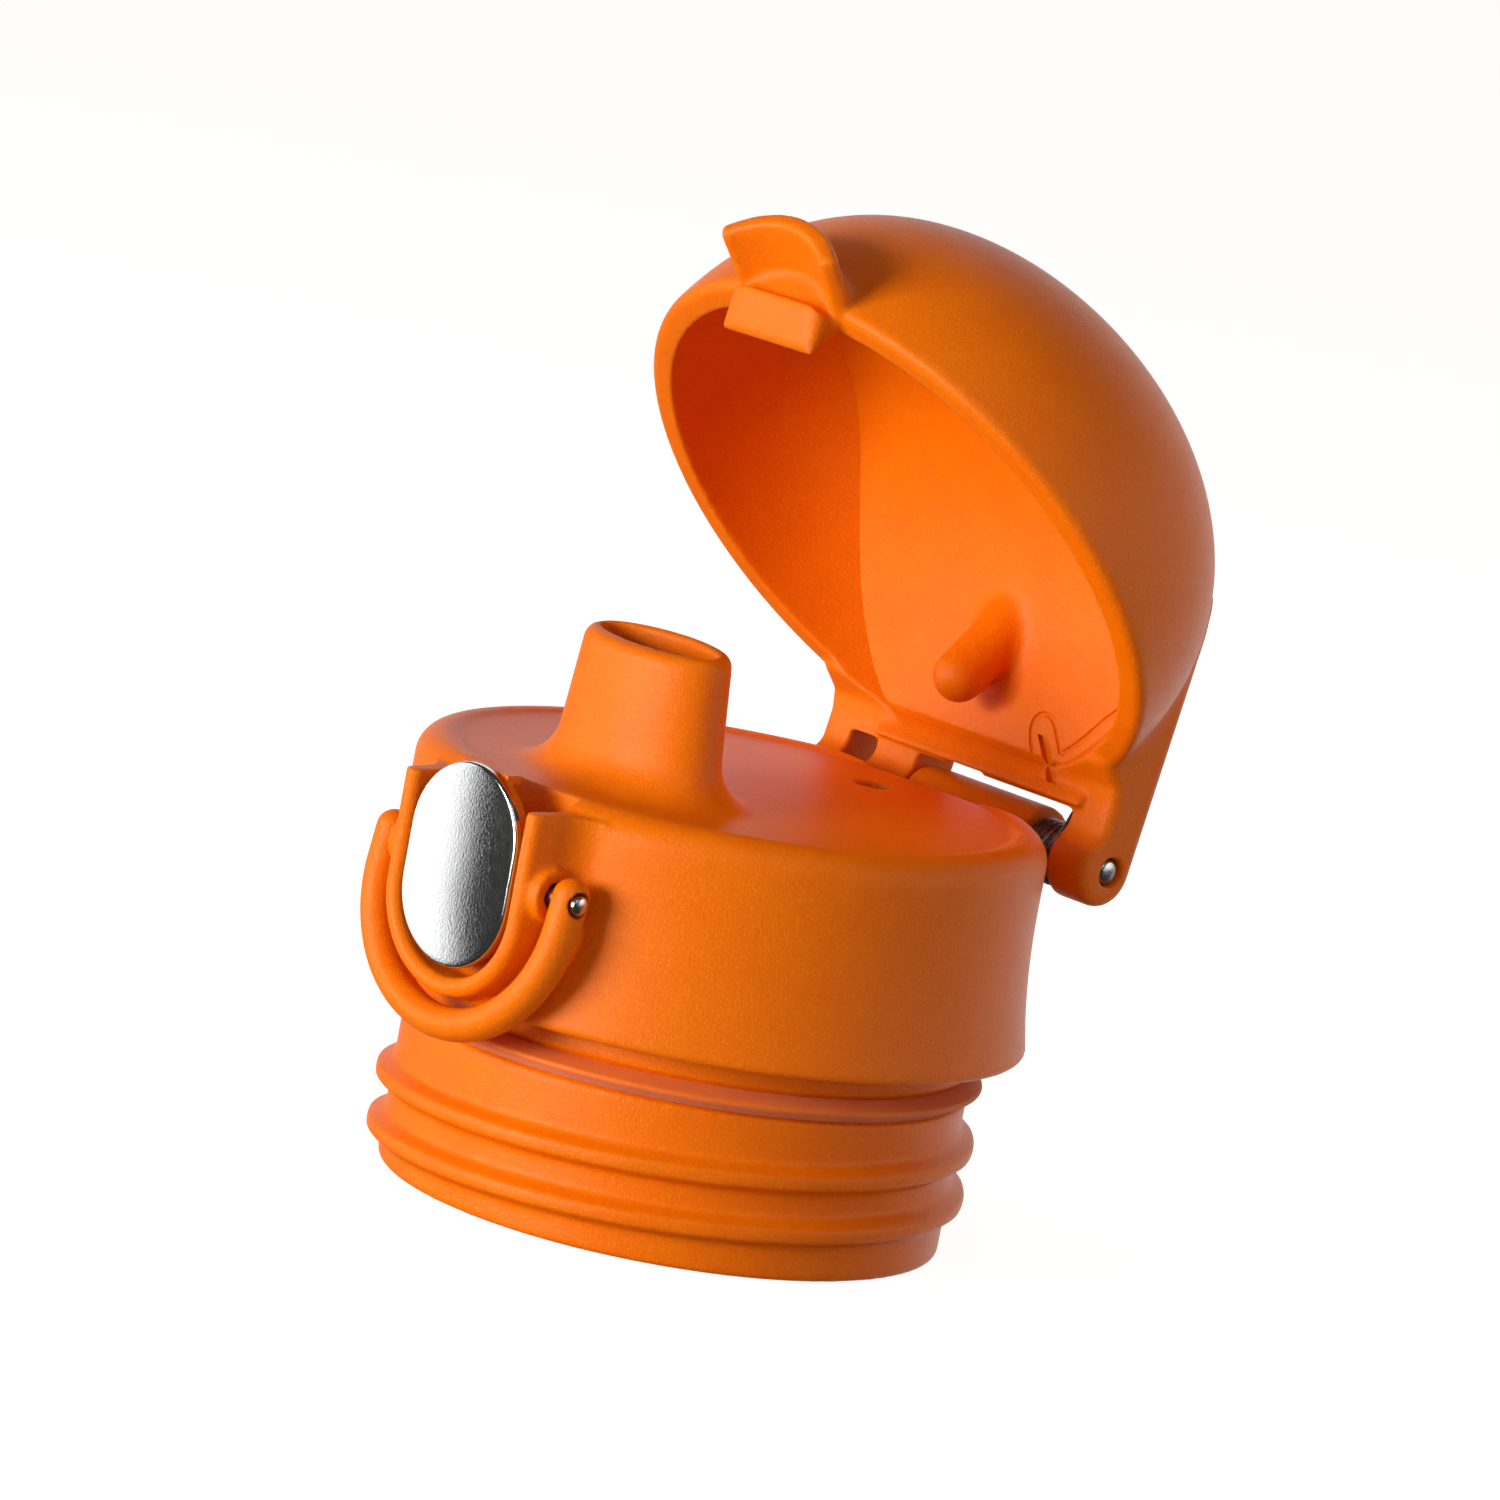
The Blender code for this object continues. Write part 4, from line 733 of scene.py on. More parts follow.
@dataclass
class CapBody:
    """The one-piece body: deck, spout, skirt, latch housing and hinge block."""

    axes: Axes
    radius: float = 0.0323
    skirt_radius: float = 0.0339
    skirt_bottom: float = 0.0216
    skirt_wall: float = 0.0027
    flare_top: float = 0.0380
    flare_power: float = 2.3
    chamber_radius: float = 0.0297
    deck: float = 0.0440
    deck_wall: float = 0.0026
    deck_fillet: float = 0.0028
    dish_radius: float = 0.0284
    dish_depth: float = 0.0004
    dish_step: float = 0.0005
    flange: float = 0.0024
    spout_y: float = -0.01435
    spout_top: float = 0.0582
    spout_top_half: float = 0.0090
    spout_foot_half: float = 0.0104
    spout_depth_share: float = 0.60
    spout_slope: float = 0.07
    spout_lip: float = 0.0010
    spout_fillet: float = 0.0042
    bore_half: Point2 = (0.0073, 0.0032)
    bore_foot_half: Point2 = (0.0082, 0.0042)
    vent_y: float = 0.0197
    vent_radius: float = 0.0018
    vent_seat_radius: float = 0.00285
    vent_seat_z: float = 0.0459
    housing_half: float = 0.0099
    housing_low: float = 0.0319
    housing_top: float = 0.0427
    housing_front: float = -0.0364
    housing_lip: float = 0.0010
    housing_ease: float = 0.0006
    housing_fairing: float = 0.0042
    housing_draft: float = 0.0004
    housing_wall: float = 0.00195
    housing_back: float = -0.0306
    housing_floor: float = 0.02185
    sill_y: float = -0.0320
    sill_z: float = 0.0262
    backing_half: float = 0.0104
    backing_y: float = -0.0273
    backing_low: float = 0.0252
    pocket_y: float = -0.0291
    pocket_z: float = 0.0386
    boss_radius: float = 0.0027
    boss_half: float = 0.0111
    pin_radius: float = 0.0010
    pin_reach: float = 0.01485
    knuckle_radius: float = 0.0043
    knuckle_left: float = -0.0065
    knuckle_right: float = 0.0108
    knuckle_foot: Point2 = (0.0283, 0.0330)
    knuckle_top: float = 0.0411
    lug_left: float = -0.0129
    lug_right: float = -0.0069
    lug_notch: float = 0.0048
    hinge_pin_radius: float = 0.00125
    hinge_reach: float = 0.0207
    chord_y: float = 0.0273
    chord_z: float = 0.0410
    chord_half: float = 0.0168
    skirt_edge: float = 0.0005
    spout_root_share: float = 0.5
    knuckle_end_deg: float = -70.0
    skin: Skin = Skin(0.00030, 3, 190000)

    def skirt_at(self, z: float) -> float:
        """Return the skirt's radius, which flares towards its bottom."""
        share = max(0.0, (self.flare_top - z) / (self.flare_top - self.skirt_bottom))
        return self.radius + (self.skirt_radius - self.radius) * share ** self.flare_power

    def shell(self) -> BMesh:
        """Turn the deck, its dished middle, the skirt and the chamber inside.

        Returns:
            The solid below the spout.
        """
        profile = [(0.0, self.deck - self.dish_depth), (self.dish_radius, self.deck - self.dish_depth),
                   (self.dish_radius + self.dish_step, self.deck)]
        corner = (self.radius - self.deck_fillet, self.deck - self.deck_fillet)
        profile += arc_points(corner, self.deck_fillet, 90.0, 0.0, 2 * ARC_STEPS)
        low = self.skirt_bottom + self.skirt_edge
        steps = 3 * ARC_STEPS
        heights = (self.flare_top + (low - self.flare_top) * index / steps for index in range(steps + 1))
        profile += [(self.skirt_at(z), z) for z in heights]
        profile += [(self.skirt_radius - self.skirt_edge, self.skirt_bottom),
                    (self.chamber_radius, self.skirt_bottom),
                    (self.chamber_radius, self.deck - self.deck_wall), (0.0, self.deck - self.deck_wall)]
        return lathe(profile)

    def spout(self) -> BMesh:
        """Bridge the tapered oval spout, filleted into the deck and rounded at its lip.

        Returns:
            The spout, not yet bored.
        """
        foot = self.deck - self.dish_depth
        taper = (self.spout_foot_half - self.spout_top_half) / (self.spout_top - self.deck)
        levels = [foot - self.spout_root_share * self.deck_wall]
        levels += [foot + self.spout_fillet * (1.0 - math.cos(math.radians(angle)))
                   for angle in range(0, 91, 9)]
        levels += [self.spout_top - self.spout_lip]
        rings = []
        for z in levels:
            level = max(z, foot)
            straight = self.spout_top_half + taper * (self.spout_top - level)
            rise = max(0.0, min(foot + self.spout_fillet - level, self.spout_fillet))
            flare = self.spout_fillet - math.sqrt(self.spout_fillet ** 2 - rise ** 2)
            above = (z - foot - self.spout_fillet) / (self.spout_top - foot - self.spout_fillet)
            slope = self.spout_slope * max(0.0, above)
            depth = straight * self.spout_depth_share + flare
            rings.append(oval(straight + flare, depth, self.spout_y, z, slope))
        for angle in (30, 60, 90):
            inset = self.spout_lip * (1.0 - math.cos(math.radians(angle)))
            z = self.spout_top - self.spout_lip * (1.0 - math.sin(math.radians(angle)))
            depth = self.spout_top_half * self.spout_depth_share - inset
            rings.append(oval(self.spout_top_half - inset, depth, self.spout_y, z, self.spout_slope))
        return loft(rings)

    def bore(self) -> BMesh:
        """Bridge the cutter of the drinking passage."""
        low = oval(*self.bore_foot_half, self.spout_y, self.deck - self.deck_wall - OVERRUN)
        foot = oval(*self.bore_foot_half, self.spout_y, self.deck)
        return loft([low, foot, oval(*self.bore_half, self.spout_y, self.spout_top + OVERRUN)])

    def u_outline(self, half: float, low: float, top: float, floor: float = -1.0) -> list[Point2]:
        """Return a U with a flat top, its round bottom kept above a floor."""
        points = [(half, top), (-half, top)] + arc_points((0.0, low), half, 180.0, 360.0, 3 * ARC_STEPS)
        return [(x, max(z, floor)) for x, z in points]

    def housing(self) -> BMesh:
        """Bridge the latch housing with its rounded lip and the fairing into the skirt.

        Returns:
            The housing, not yet hollowed.
        """
        stations = [(self.housing_front + self.housing_lip * (1.0 - math.sin(math.radians(angle))),
                     self.housing_half - self.housing_lip * (1.0 - math.cos(math.radians(angle))))
                    for angle in (90, 72, 54, 36, 18, 0)]
        centre_x = self.housing_half + self.housing_draft + self.housing_fairing
        centre_y = -math.sqrt((self.radius + self.housing_fairing) ** 2 - centre_x ** 2)
        end_deg = math.degrees(math.atan2(-centre_y, -centre_x))
        fairing = arc_points((centre_x, centre_y), self.housing_fairing, 180.0, end_deg, ARC_STEPS)
        stations += [(y, x) for x, y in fairing]
        stations.append((self.backing_y, stations[-1][1]))
        low, top, floor = self.housing_low, self.housing_top, self.housing_floor
        return loft([[(x, y, z) for x, z in self.u_outline(half, low, top, floor)] for y, half in stations])

    def housing_cavity(self) -> BMesh:
        """Bridge the cutter of the housing's pocket, eased at its mouth.

        Returns:
            The cutter.
        """
        inner = self.housing_half - self.housing_wall
        mouth = inner + self.housing_ease
        places = ((self.housing_front - OVERRUN, mouth), (self.housing_front, mouth),
                  (self.housing_front + self.housing_ease, inner), (self.sill_y, inner))
        return loft([[(x, y, z) for x, z in self.u_outline(half, self.housing_low, self.deck + OVERRUN)]
                     for y, half in places])

    def knuckle(self) -> BMesh:
        """Extrude the hinge block on its foot.

        Returns:
            The block.
        """
        axes = self.axes
        rise = 180.0 - math.degrees(math.asin((self.knuckle_top - axes.hinge_z) / self.knuckle_radius))
        barrel = arc_points((axes.hinge_y, axes.hinge_z), self.knuckle_radius, rise,
                            self.knuckle_end_deg, 3 * ARC_STEPS)
        foot_y, foot_z = self.knuckle_foot
        outline = [(foot_y, foot_z), (foot_y, self.knuckle_top)] + barrel
        return along_x(outline, self.knuckle_left, self.knuckle_right)

    def vent(self) -> BMesh:
        """Bridge the cutter of the vent and of the round seat above it.

        Returns:
            The cutter.
        """
        start = math.degrees(math.asin(self.vent_radius / self.vent_seat_radius)) - 90.0
        sections = [(self.vent_radius, self.deck - self.deck_wall - OVERRUN)]
        sections += [(reach, self.vent_seat_z + drop)
                     for reach, drop in arc_points((0.0, 0.0), self.vent_seat_radius, start, 0.0)]
        return loft([oval(reach, reach, self.vent_y, z) for reach, z in sections])

    def build(self, looks: dict[Slot, Material]) -> Object:
        """Join, cut and skin the body and put it in its place.

        Args:
            looks: The materials by slot.

        Returns:
            The finished piece.
        """
        axes = self.axes
        latch, hinge = (axes.latch_y, axes.latch_z), (axes.hinge_y, axes.hinge_z)
        inner = self.housing_half - self.housing_wall
        piece = Moulding("body_moulding", self.shell())
        piece.join(block(-self.backing_half, self.backing_half, self.housing_back - GAP, self.backing_y,
                         self.backing_low, self.deck - self.deck_fillet))
        piece.join(self.spout()).join(self.housing())
        piece.cut(block(-self.chord_half, self.chord_half, self.chord_y, self.radius + OVERRUN, self.chord_z,
                        self.deck + OVERRUN))
        piece.join(self.knuckle())
        piece.cut(rod(hinge, self.lug_notch, self.lug_left - GAP, self.lug_right + GAP))
        piece.cut(rod(hinge, self.hinge_pin_radius + GAP, -self.hinge_reach, self.hinge_reach))
        piece.cut(self.bore()).cut(self.vent())
        for side in (-1.0, 1.0):
            low, high = sorted((side * (self.housing_half - self.housing_lip), side * self.boss_half))
            piece.join(rod(latch, self.boss_radius, low, high))
        piece.cut(self.housing_cavity())
        piece.cut(along_y(self.u_outline(inner, self.sill_z + inner, self.deck + OVERRUN), self.sill_y - GAP,
                          self.housing_back))
        socket = circle((0.0, 0.0), self.skirt_radius - self.skirt_wall, ROUND_STEPS)
        piece.cut(along_z(socket, -OVERRUN, self.skirt_bottom + self.flange + 2.0 * GAP))
        piece.cut(block(-inner, inner, self.housing_back - GAP, self.pocket_y, self.pocket_z,
                        self.deck + OVERRUN))
        piece.cut(rod(latch, self.pin_radius + GAP, -self.pin_reach - OVERRUN, self.pin_reach + OVERRUN))
        piece.skin(self.skin)
        return dress(piece.done(), looks[Slot.SHELL], "body", Slot.SHELL, "cap_body")


@dataclass
class Neck:
    """The threaded collar and the seal ring in its groove."""

    radius: float = 0.02885
    bore: float = 0.0264
    edge: float = 0.0003
    flange_low: float = 0.0219
    flange_top: float = 0.0243
    flange_radius: float = 0.0309
    thread_radius: float = 0.0305
    pitch: float = 0.0054
    crest: float = 0.0013
    root: float = 0.0033
    start_z: float = 0.0025
    start_deg: float = 174.0
    turns: float = 1.78
    runout_deg: float = 42.0
    bite: float = 0.0003
    seal_radius: float = 0.0302
    seal_z: float = 0.0176
    seal_crest: float = 0.0008
    seal_root: float = 0.0022
    groove: float = 0.0007
    least_root_share: float = 0.01
    bead_deg: float = 75.0
    seal_sharp_deg: float = 50.0
    skin: Skin = Skin(0.00027, 4, 180000)

    def tube(self) -> BMesh:
        """Turn the collar: tube, seal groove and top flange.

        Returns:
            The collar without its thread.
        """
        half = 0.5 * self.seal_root + GAP
        deep = self.radius - self.groove
        return lathe([(self.bore + self.edge, 0.0), (self.radius - self.edge, 0.0), (self.radius, self.edge),
                      (self.radius, self.seal_z - half), (deep, self.seal_z - half),
                      (deep, self.seal_z + half), (self.radius, self.seal_z + half),
                      (self.radius, self.flange_low),
                      (self.flange_radius, self.flange_low), (self.flange_radius, self.flange_top),
                      (self.bore, self.flange_top), (self.bore, self.edge)])

    def thread(self) -> BMesh:
        """Screw a ridge round the collar and fade it out at both ends.

        Returns:
            The thread.
        """
        bm = bmesh.new()
        steps = round(ROUND_STEPS * self.turns)
        low, high = self.start_z - 0.5 * self.root, self.start_z + 0.5 * self.root
        inner = self.radius - self.bite
        section = ((inner, low), (self.thread_radius, self.start_z - 0.5 * self.crest),
                   (self.thread_radius, self.start_z + 0.5 * self.crest), (inner, high))
        verts = [bm.verts.new((radius, 0.0, z)) for radius, z in section]
        face = bm.faces.new(verts)
        sweep = 360.0 * self.turns
        rise = self.pitch * self.turns / steps
        bmesh.ops.spin(bm, geom=[*verts, *face.edges, face], cent=(0.0, 0.0, 0.0), axis=(0.0, 0.0, 1.0),
                       dvec=(0.0, 0.0, rise), angle=math.radians(sweep), steps=steps)
        for vert in bm.verts:
            reach = math.hypot(vert.co.x, vert.co.y)
            base = math.degrees(math.atan2(vert.co.y, vert.co.x)) % 360.0
            turn_z = self.start_z + self.pitch * base / 360.0
            turned = base + 360.0 * round((vert.co.z - turn_z) / self.pitch)
            share = max(0.0, min(1.0, min(turned, sweep - turned) / self.runout_deg))
            height = math.sin(0.5 * math.pi * share)
            middle = self.start_z + self.pitch * turned / 360.0
            if reach > self.radius:
                scale = (self.radius + (reach - self.radius) * height) / reach
                vert.co.x *= scale
                vert.co.y *= scale
            else:
                half = 0.5 * self.crest + 0.5 * (self.root - self.crest) * max(share, self.least_root_share)
                vert.co.z = middle + math.copysign(half, vert.co.z - middle)
        bmesh.ops.rotate(bm, verts=bm.verts, cent=(0.0, 0.0, 0.0),
                         matrix=Matrix.Rotation(math.radians(self.start_deg), 3, "Z"))
        bmesh.ops.remove_doubles(bm, verts=bm.verts, dist=WELD)
        bmesh.ops.recalc_face_normals(bm, faces=bm.faces)
        return bm

    def build(self, looks: dict[Slot, Material]) -> list[Object]:
        """Make the collar and its seal ring.

        Args:
            looks: The materials by slot.

        Returns:
            The finished pieces.
        """
        piece = Moulding("collar_moulding", self.tube()).join(self.thread())
        piece.skin(self.skin)
        collar = dress(piece.done(), looks[Slot.SHELL], "body", Slot.SHELL, "neck_collar")
        inner = self.radius - self.groove + 0.5 * GAP
        low, high = self.seal_z - 0.5 * self.seal_root, self.seal_z + 0.5 * self.seal_root
        bead = 0.5 * self.seal_crest
        profile = [(inner, low), (self.radius, low)]
        profile += arc_points((self.seal_radius - bead, self.seal_z), bead, -self.bead_deg, self.bead_deg)
        profile += [(self.radius, high), (inner, high)]
        seal = mesh_object("seal_ring", lathe(profile))
        smooth_faces(seal, self.seal_sharp_deg)
        return [collar, dress(seal, looks[Slot.RUBBER], "body", Slot.RUBBER, "neck_seal")]


@dataclass
class Lid:
    """The domed lid with its tail, catch and visor, its vaulted liner and the spout's plug."""

    axes: Axes
    radius: float = 0.0326
    rim_z: float = 0.0448
    height: float = 0.0285
    power: float = 2.34
    rim_wall: float = 0.0030
    crown_wall: float = 0.0028
    rim_edge: float = 0.0010
    arm_half: float = 0.0210
    arm_width: float = 0.0041
    arm_radius: float = 0.0038
    tip_offset: float = 0.0004
    heel: Point2 = (0.0286, 0.0430)
    root_y: float = 0.0269
    root_drop: float = 0.0006
    arm_top: Point2 = (0.0213, 0.0620)
    arm_edge: float = 0.0010
    web_front: float = 0.0281
    web_back: float = 0.0295
    web_low: float = 0.0416
    web_slope: float = 0.0010
    rear_block_top: float = 0.0505
    window_top: float = 0.0490
    lug_left: float = -0.0129
    lug_right: float = -0.0069
    pin_bore: float = 0.00155
    catch_half: float = 0.0065
    catch_nose: Point2 = (-0.0337, 0.0437)
    catch_low: Point2 = (-0.0304, 0.0401)
    catch_back: float = -0.0295
    catch_neck: float = -0.0323
    catch_ledge: float = 0.00015
    catch_corner: float = 0.0018
    catch_low_round: float = 0.0005
    visor_centre: float = 0.0378
    visor_radius: float = 0.0119
    visor_wall: float = 0.0020
    visor_front: float = -0.0388
    visor_back: float = -0.0300
    visor_droop: float = 0.0007
    visor_sweep: float = 0.0017
    visor_edge: float = 0.0006
    visor_half_deg: float = 45.0
    liner_peak: Point2 = (-0.0015, 0.0631)
    liner_rear: float = 0.0266
    liner_front: float = -0.0215
    liner_thickness: float = 0.0018
    liner_bed: float = 0.0008
    vent_y: float = 0.0197
    nub_radius: float = 0.00275
    nub_z: float = 0.0459
    nub_top: float = 0.0570
    nub_flare: float = 0.0006
    slot_top: Point3 = (0.0093, 0.0254, 0.0464)
    slot_low: Point3 = (0.0124, 0.0282, 0.0432)
    slot_half: float = 0.0008
    line_radius: float = 0.00032
    arm_gusset: float = 0.0012
    tongue: tuple[Point2, ...] = ((0.0088, 0.0267), (0.0078, 0.0257), (0.0074, 0.0249), (0.0079, 0.0242),
                                  (0.0090, 0.02395), (0.0102, 0.0243), (0.0113, 0.0252), (0.01235, 0.02605))
    cheek: tuple[Point2, ...] = ((0.01235, 0.02605), (0.0136, 0.0254), (0.01525, 0.0242), (0.0169, 0.0229),
                                 (0.01825, 0.0220), (0.0194, 0.0209))
    plug_half: Point2 = (0.0078, 0.0042)
    plug_face: float = 0.0588
    plug_edge: float = 0.0006
    plug_stem: float = 0.0012
    plug_round_shares: Point2 = (0.3, 0.7)
    spout_y: float = -0.01435
    sharp_deg: float = 60.0
    plug_sharp_deg: float = 50.0
    barrel_deg: Point2 = (38.0, -195.0)
    slot_out: Point2 = (0.0030, 0.0022)
    slot_in: Point2 = (0.0005, 0.0004)
    shell_skin: Skin = Skin(0.00028, 4, 190000, (
        SoftZone((-0.0125, -0.0335, 0.0452), (0.0125, -0.0235, 0.0560), 90),
        SoftZone((0.0165, 0.0100, 0.0452), (0.0260, 0.0300, 0.0640), 70),
        SoftZone((-0.0260, 0.0100, 0.0452), (-0.0165, 0.0300, 0.0640), 70),
        SoftZone((-0.0220, 0.0150, 0.0560), (0.0220, 0.0260, 0.0690), 70),
        SoftZone((-0.0075, -0.0350, 0.0390), (0.0075, -0.0290, 0.0444), 30, Softening.ROUND),
    ))
    liner_skin: Skin = Skin(0.00028, 3, 120000, (
        SoftZone((-0.0085, 0.0115, 0.0475), (0.0085, 0.0262, 0.0600), 60),
    ))

    def dome(self, radius: float, height: float, rim_edge: float = 0.0, skirt: float = 0.0) -> BMesh:
        """Turn a superellipse dome on the rim plane.

        Args:
            radius: Its radius at the rim.
            height: Its height over the rim.
            rim_edge: Radius of the rim's outer edge.
            skirt: How far it runs straight down below the rim.

        Returns:
            The closed dome.
        """
        profile = [(0.0, self.rim_z - skirt), (radius - rim_edge, self.rim_z - skirt)]
        if rim_edge > 0.0:
            profile += [(radius - rim_edge * (1.0 - math.cos(turn)),
                         self.rim_z + rim_edge * (1.0 - math.sin(turn)))
                        for turn in (math.radians(angle) for angle in (75, 60, 45, 30, 15))]
        steps = 4 * ARC_STEPS
        for index in range(steps):
            angle = 0.5 * math.pi * index / steps
            out, up = (math.cos(angle) ** (2.0 / self.power), math.sin(angle) ** (2.0 / self.power))
            profile.append((radius * out, self.rim_z + rim_edge + (height - rim_edge) * up))
        return lathe(profile + [(0.0, self.rim_z + height)])

    def tail(self) -> BMesh:
        """Extrude the tail's side outline: barrel, heel, flank and sloping back.

        Returns:
            The tail, not yet parted into arms.
        """
        axes = self.axes
        tip = (axes.hinge_y - self.tip_offset, axes.hinge_z - self.tip_offset)
        root_z = self.rim_z - self.root_drop
        outline = arc_points(tip, self.arm_radius, *self.barrel_deg, 3 * ARC_STEPS)
        outline += [self.heel, (self.root_y, root_z), (self.root_y - self.arm_radius, root_z),
                    (self.arm_top[0] - self.arm_radius, self.arm_top[1] + self.arm_radius), self.arm_top]
        return along_x(outline, -self.arm_half, self.arm_half)

    def visor(self) -> BMesh:
        """Bridge the arched thumb visor over the button.

        Returns:
            The visor.
        """
        low, high = 90.0 - self.visor_half_deg, 90.0 + self.visor_half_deg
        rings = []
        ends = ((self.visor_front, self.visor_sweep, 0.0), (self.visor_back, 0.0, self.visor_droop))
        for y, sweep, droop in ends:
            centre, radius = (0.0, self.visor_centre), self.visor_radius - droop
            outline = arc_points(centre, radius, low, high, 2 * ARC_STEPS)
            outline += arc_points(centre, radius - self.visor_wall, high, low, 2 * ARC_STEPS)
            rings.append([(x, y + sweep * (x / self.visor_radius) ** 2, z) for x, z in outline])
        return loft(rings)

    def catch(self) -> BMesh:
        """Bridge the catch: a slope up to the ledged nose, round-cornered.

        Returns:
            The catch.
        """
        rings = []
        (low_y, low_z), (nose_y, nose_z) = self.catch_low, self.catch_nose
        places = ((low_z, low_y), (nose_z - self.catch_low_round, nose_y + GAP), (nose_z, nose_y),
                  (nose_z + self.catch_ledge, self.catch_neck), (self.rim_z + GAP, self.catch_neck))
        for z, front in places:
            depth = min(self.catch_corner, self.catch_back - front - GAP)
            corner = arc_points((0.0, 0.0), 1.0, 0.0, 90.0, 6)
            right = [(self.catch_half - self.catch_corner * (1.0 - across), front + depth * (1.0 - along), z)
                     for across, along in corner]
            left = [(-x, y, z) for x, y, z in right[::-1]]
            rings.append([(self.catch_half, self.catch_back, z), *right, *left,
                          (-self.catch_half, self.catch_back, z)])
        return loft(rings)

    def spring_slot(self) -> BMesh:
        """Bridge the cutter of the slanted slot in front of the spring's leg.

        Returns:
            The cutter.
        """
        half = self.slot_half
        (out_y, out_z), (in_y, in_z) = self.slot_out, self.slot_in
        section = ((-half, -out_y, -out_z), (half, -out_y, -out_z), (half, in_y, in_z), (-half, in_y, in_z))
        return loft([[(x + across, y + along, z + rise) for across, along, rise in section]
                     for x, y, z in (self.slot_top, self.slot_low)])

    def build_shell(self, look: Material) -> Object:
        """Join, cut and skin the lid's shell.

        Args:
            look: Its material.

        Returns:
            The finished shell.
        """
        axes = self.axes
        hinge = (axes.hinge_y, axes.hinge_z)
        inner = self.arm_half - self.arm_width
        piece = Moulding("lid_moulding", self.dome(self.radius, self.height, self.rim_edge))
        piece.join(self.tail(), self.arm_edge).join(self.visor(), self.visor_edge)
        piece.cut(self.dome(self.radius - self.rim_wall, self.height - self.crown_wall, 0.0, OVERRUN))
        back = self.web_back + GAP
        piece.join(along_x([(self.web_front, self.rim_z), (self.web_front, self.rear_block_top),
                            (back, self.rear_block_top), (back, self.rim_z)], -inner - GAP, inner + GAP))
        reach, low = axes.hinge_y + self.arm_radius + OVERRUN, axes.hinge_z - self.arm_radius - OVERRUN
        for x_low, x_high in ((-inner, self.lug_left), (self.lug_right, inner - self.arm_gusset)):
            piece.cut(block(x_low, x_high, self.web_back, reach, low, self.window_top))
        web = [(self.web_front - GAP, self.rim_z - self.web_slope), (self.web_front, self.web_low),
               (self.web_front + GAP, self.web_low), (self.web_back, self.web_low + self.web_slope),
               (self.web_back, self.rim_z + self.web_slope), (self.web_front, self.rim_z + self.web_slope)]
        piece.join(along_x(web, self.lug_left, inner + GAP))
        piece.cut(rod(hinge, self.pin_bore, -self.arm_half - OVERRUN, self.arm_half + OVERRUN))
        piece.join(self.catch())
        piece.skin(self.shell_skin)
        piece.cut(self.spring_slot())
        return dress(piece.done(axes.lid_turn(), self.sharp_deg), look, "lid", Slot.SHELL, "lid_shell")

    def ceiling(self, y: float) -> float:
        """Return the height of the liner's vault at y."""
        share = (y - self.liner_peak[0]) / (self.liner_rear - self.liner_peak[0])
        return self.liner_peak[1] - (self.liner_peak[1] - self.rim_z) * share ** 2

    def nub(self) -> BMesh:
        """Bridge the round-ended vent nub, flared where it joins the liner.

        Returns:
            The nub.
        """
        sections = [(self.nub_radius * math.sin(turn), self.nub_z - self.nub_radius * math.cos(turn))
                    for turn in (math.radians(angle) for angle in range(6, 91, 12))]
        for index in range(1, 9):
            share = index / 8.0
            sections.append((self.nub_radius + self.nub_flare * share ** 2,
                             self.nub_z + (self.nub_top - self.nub_z) * share))
        return loft([oval(reach, reach, self.vent_y, z) for reach, z in sections])

    def build_liner(self, look: Material) -> Object:
        """Shape the vaulted liner, its nub and its parting lines.

        Args:
            look: Its material.

        Returns:
            The finished liner.
        """
        inside = self.dome(self.radius - self.rim_wall + self.liner_bed,
                           self.height - self.crown_wall + self.liner_bed)
        piece = Moulding("liner_moulding", inside)
        steps = 4 * ARC_STEPS
        depth = self.liner_rear - self.liner_peak[0]
        places = (self.liner_peak[0] + depth * index / steps for index in range(steps + 1))
        under = [(y, self.ceiling(y)) for y in places]
        slab = [(self.liner_front, self.liner_peak[1])] + under + [(self.liner_rear + OVERRUN, self.rim_z)]
        slab += [(y, z + self.liner_thickness) for y, z in slab[::-1]]
        piece.apply(along_x(slab, -self.radius, self.radius), Operation.KEEP)
        piece.cut(block(-self.radius, self.radius, self.web_front, self.radius, self.rim_z - OVERRUN,
                        self.rear_block_top + GAP))
        piece.join(self.nub())
        piece.skin(self.liner_skin)
        piece.cut(self.spring_slot())
        for line in (self.tongue, self.cheek):
            points = smooth_path([(x, y, self.ceiling(y)) for x, y in line])
            piece.cut(wire(points, self.line_radius))
        return dress(piece.done(self.axes.lid_turn(), self.sharp_deg), look, "lid", Slot.SHELL, "lid_liner")

    def build_plug(self, look: Material) -> Object:
        """Bridge the soft plug that seals the spout.

        Args:
            look: Its material.

        Returns:
            The finished plug.
        """
        half_x, half_y = self.plug_half
        edge, face, top = self.plug_edge, self.plug_face, self.plug_face + self.plug_stem
        small, large = self.plug_round_shares
        stations = ((1.0, face), (small, face + small * edge), (0.0, face + edge), (0.0, top),
                    (small, top + large * edge), (1.0, top + edge), (1.0, self.liner_peak[1] - 0.5 * GAP))
        rings = [oval(half_x - edge * inset, half_y - edge * inset, self.spout_y, z) for inset, z in stations]
        plug = mesh_object("spout_seal", loft(rings))
        plug.data.transform(self.axes.lid_turn())
        smooth_faces(plug, self.plug_sharp_deg)
        return dress(plug, look, "lid", Slot.RUBBER, "spout_plug")

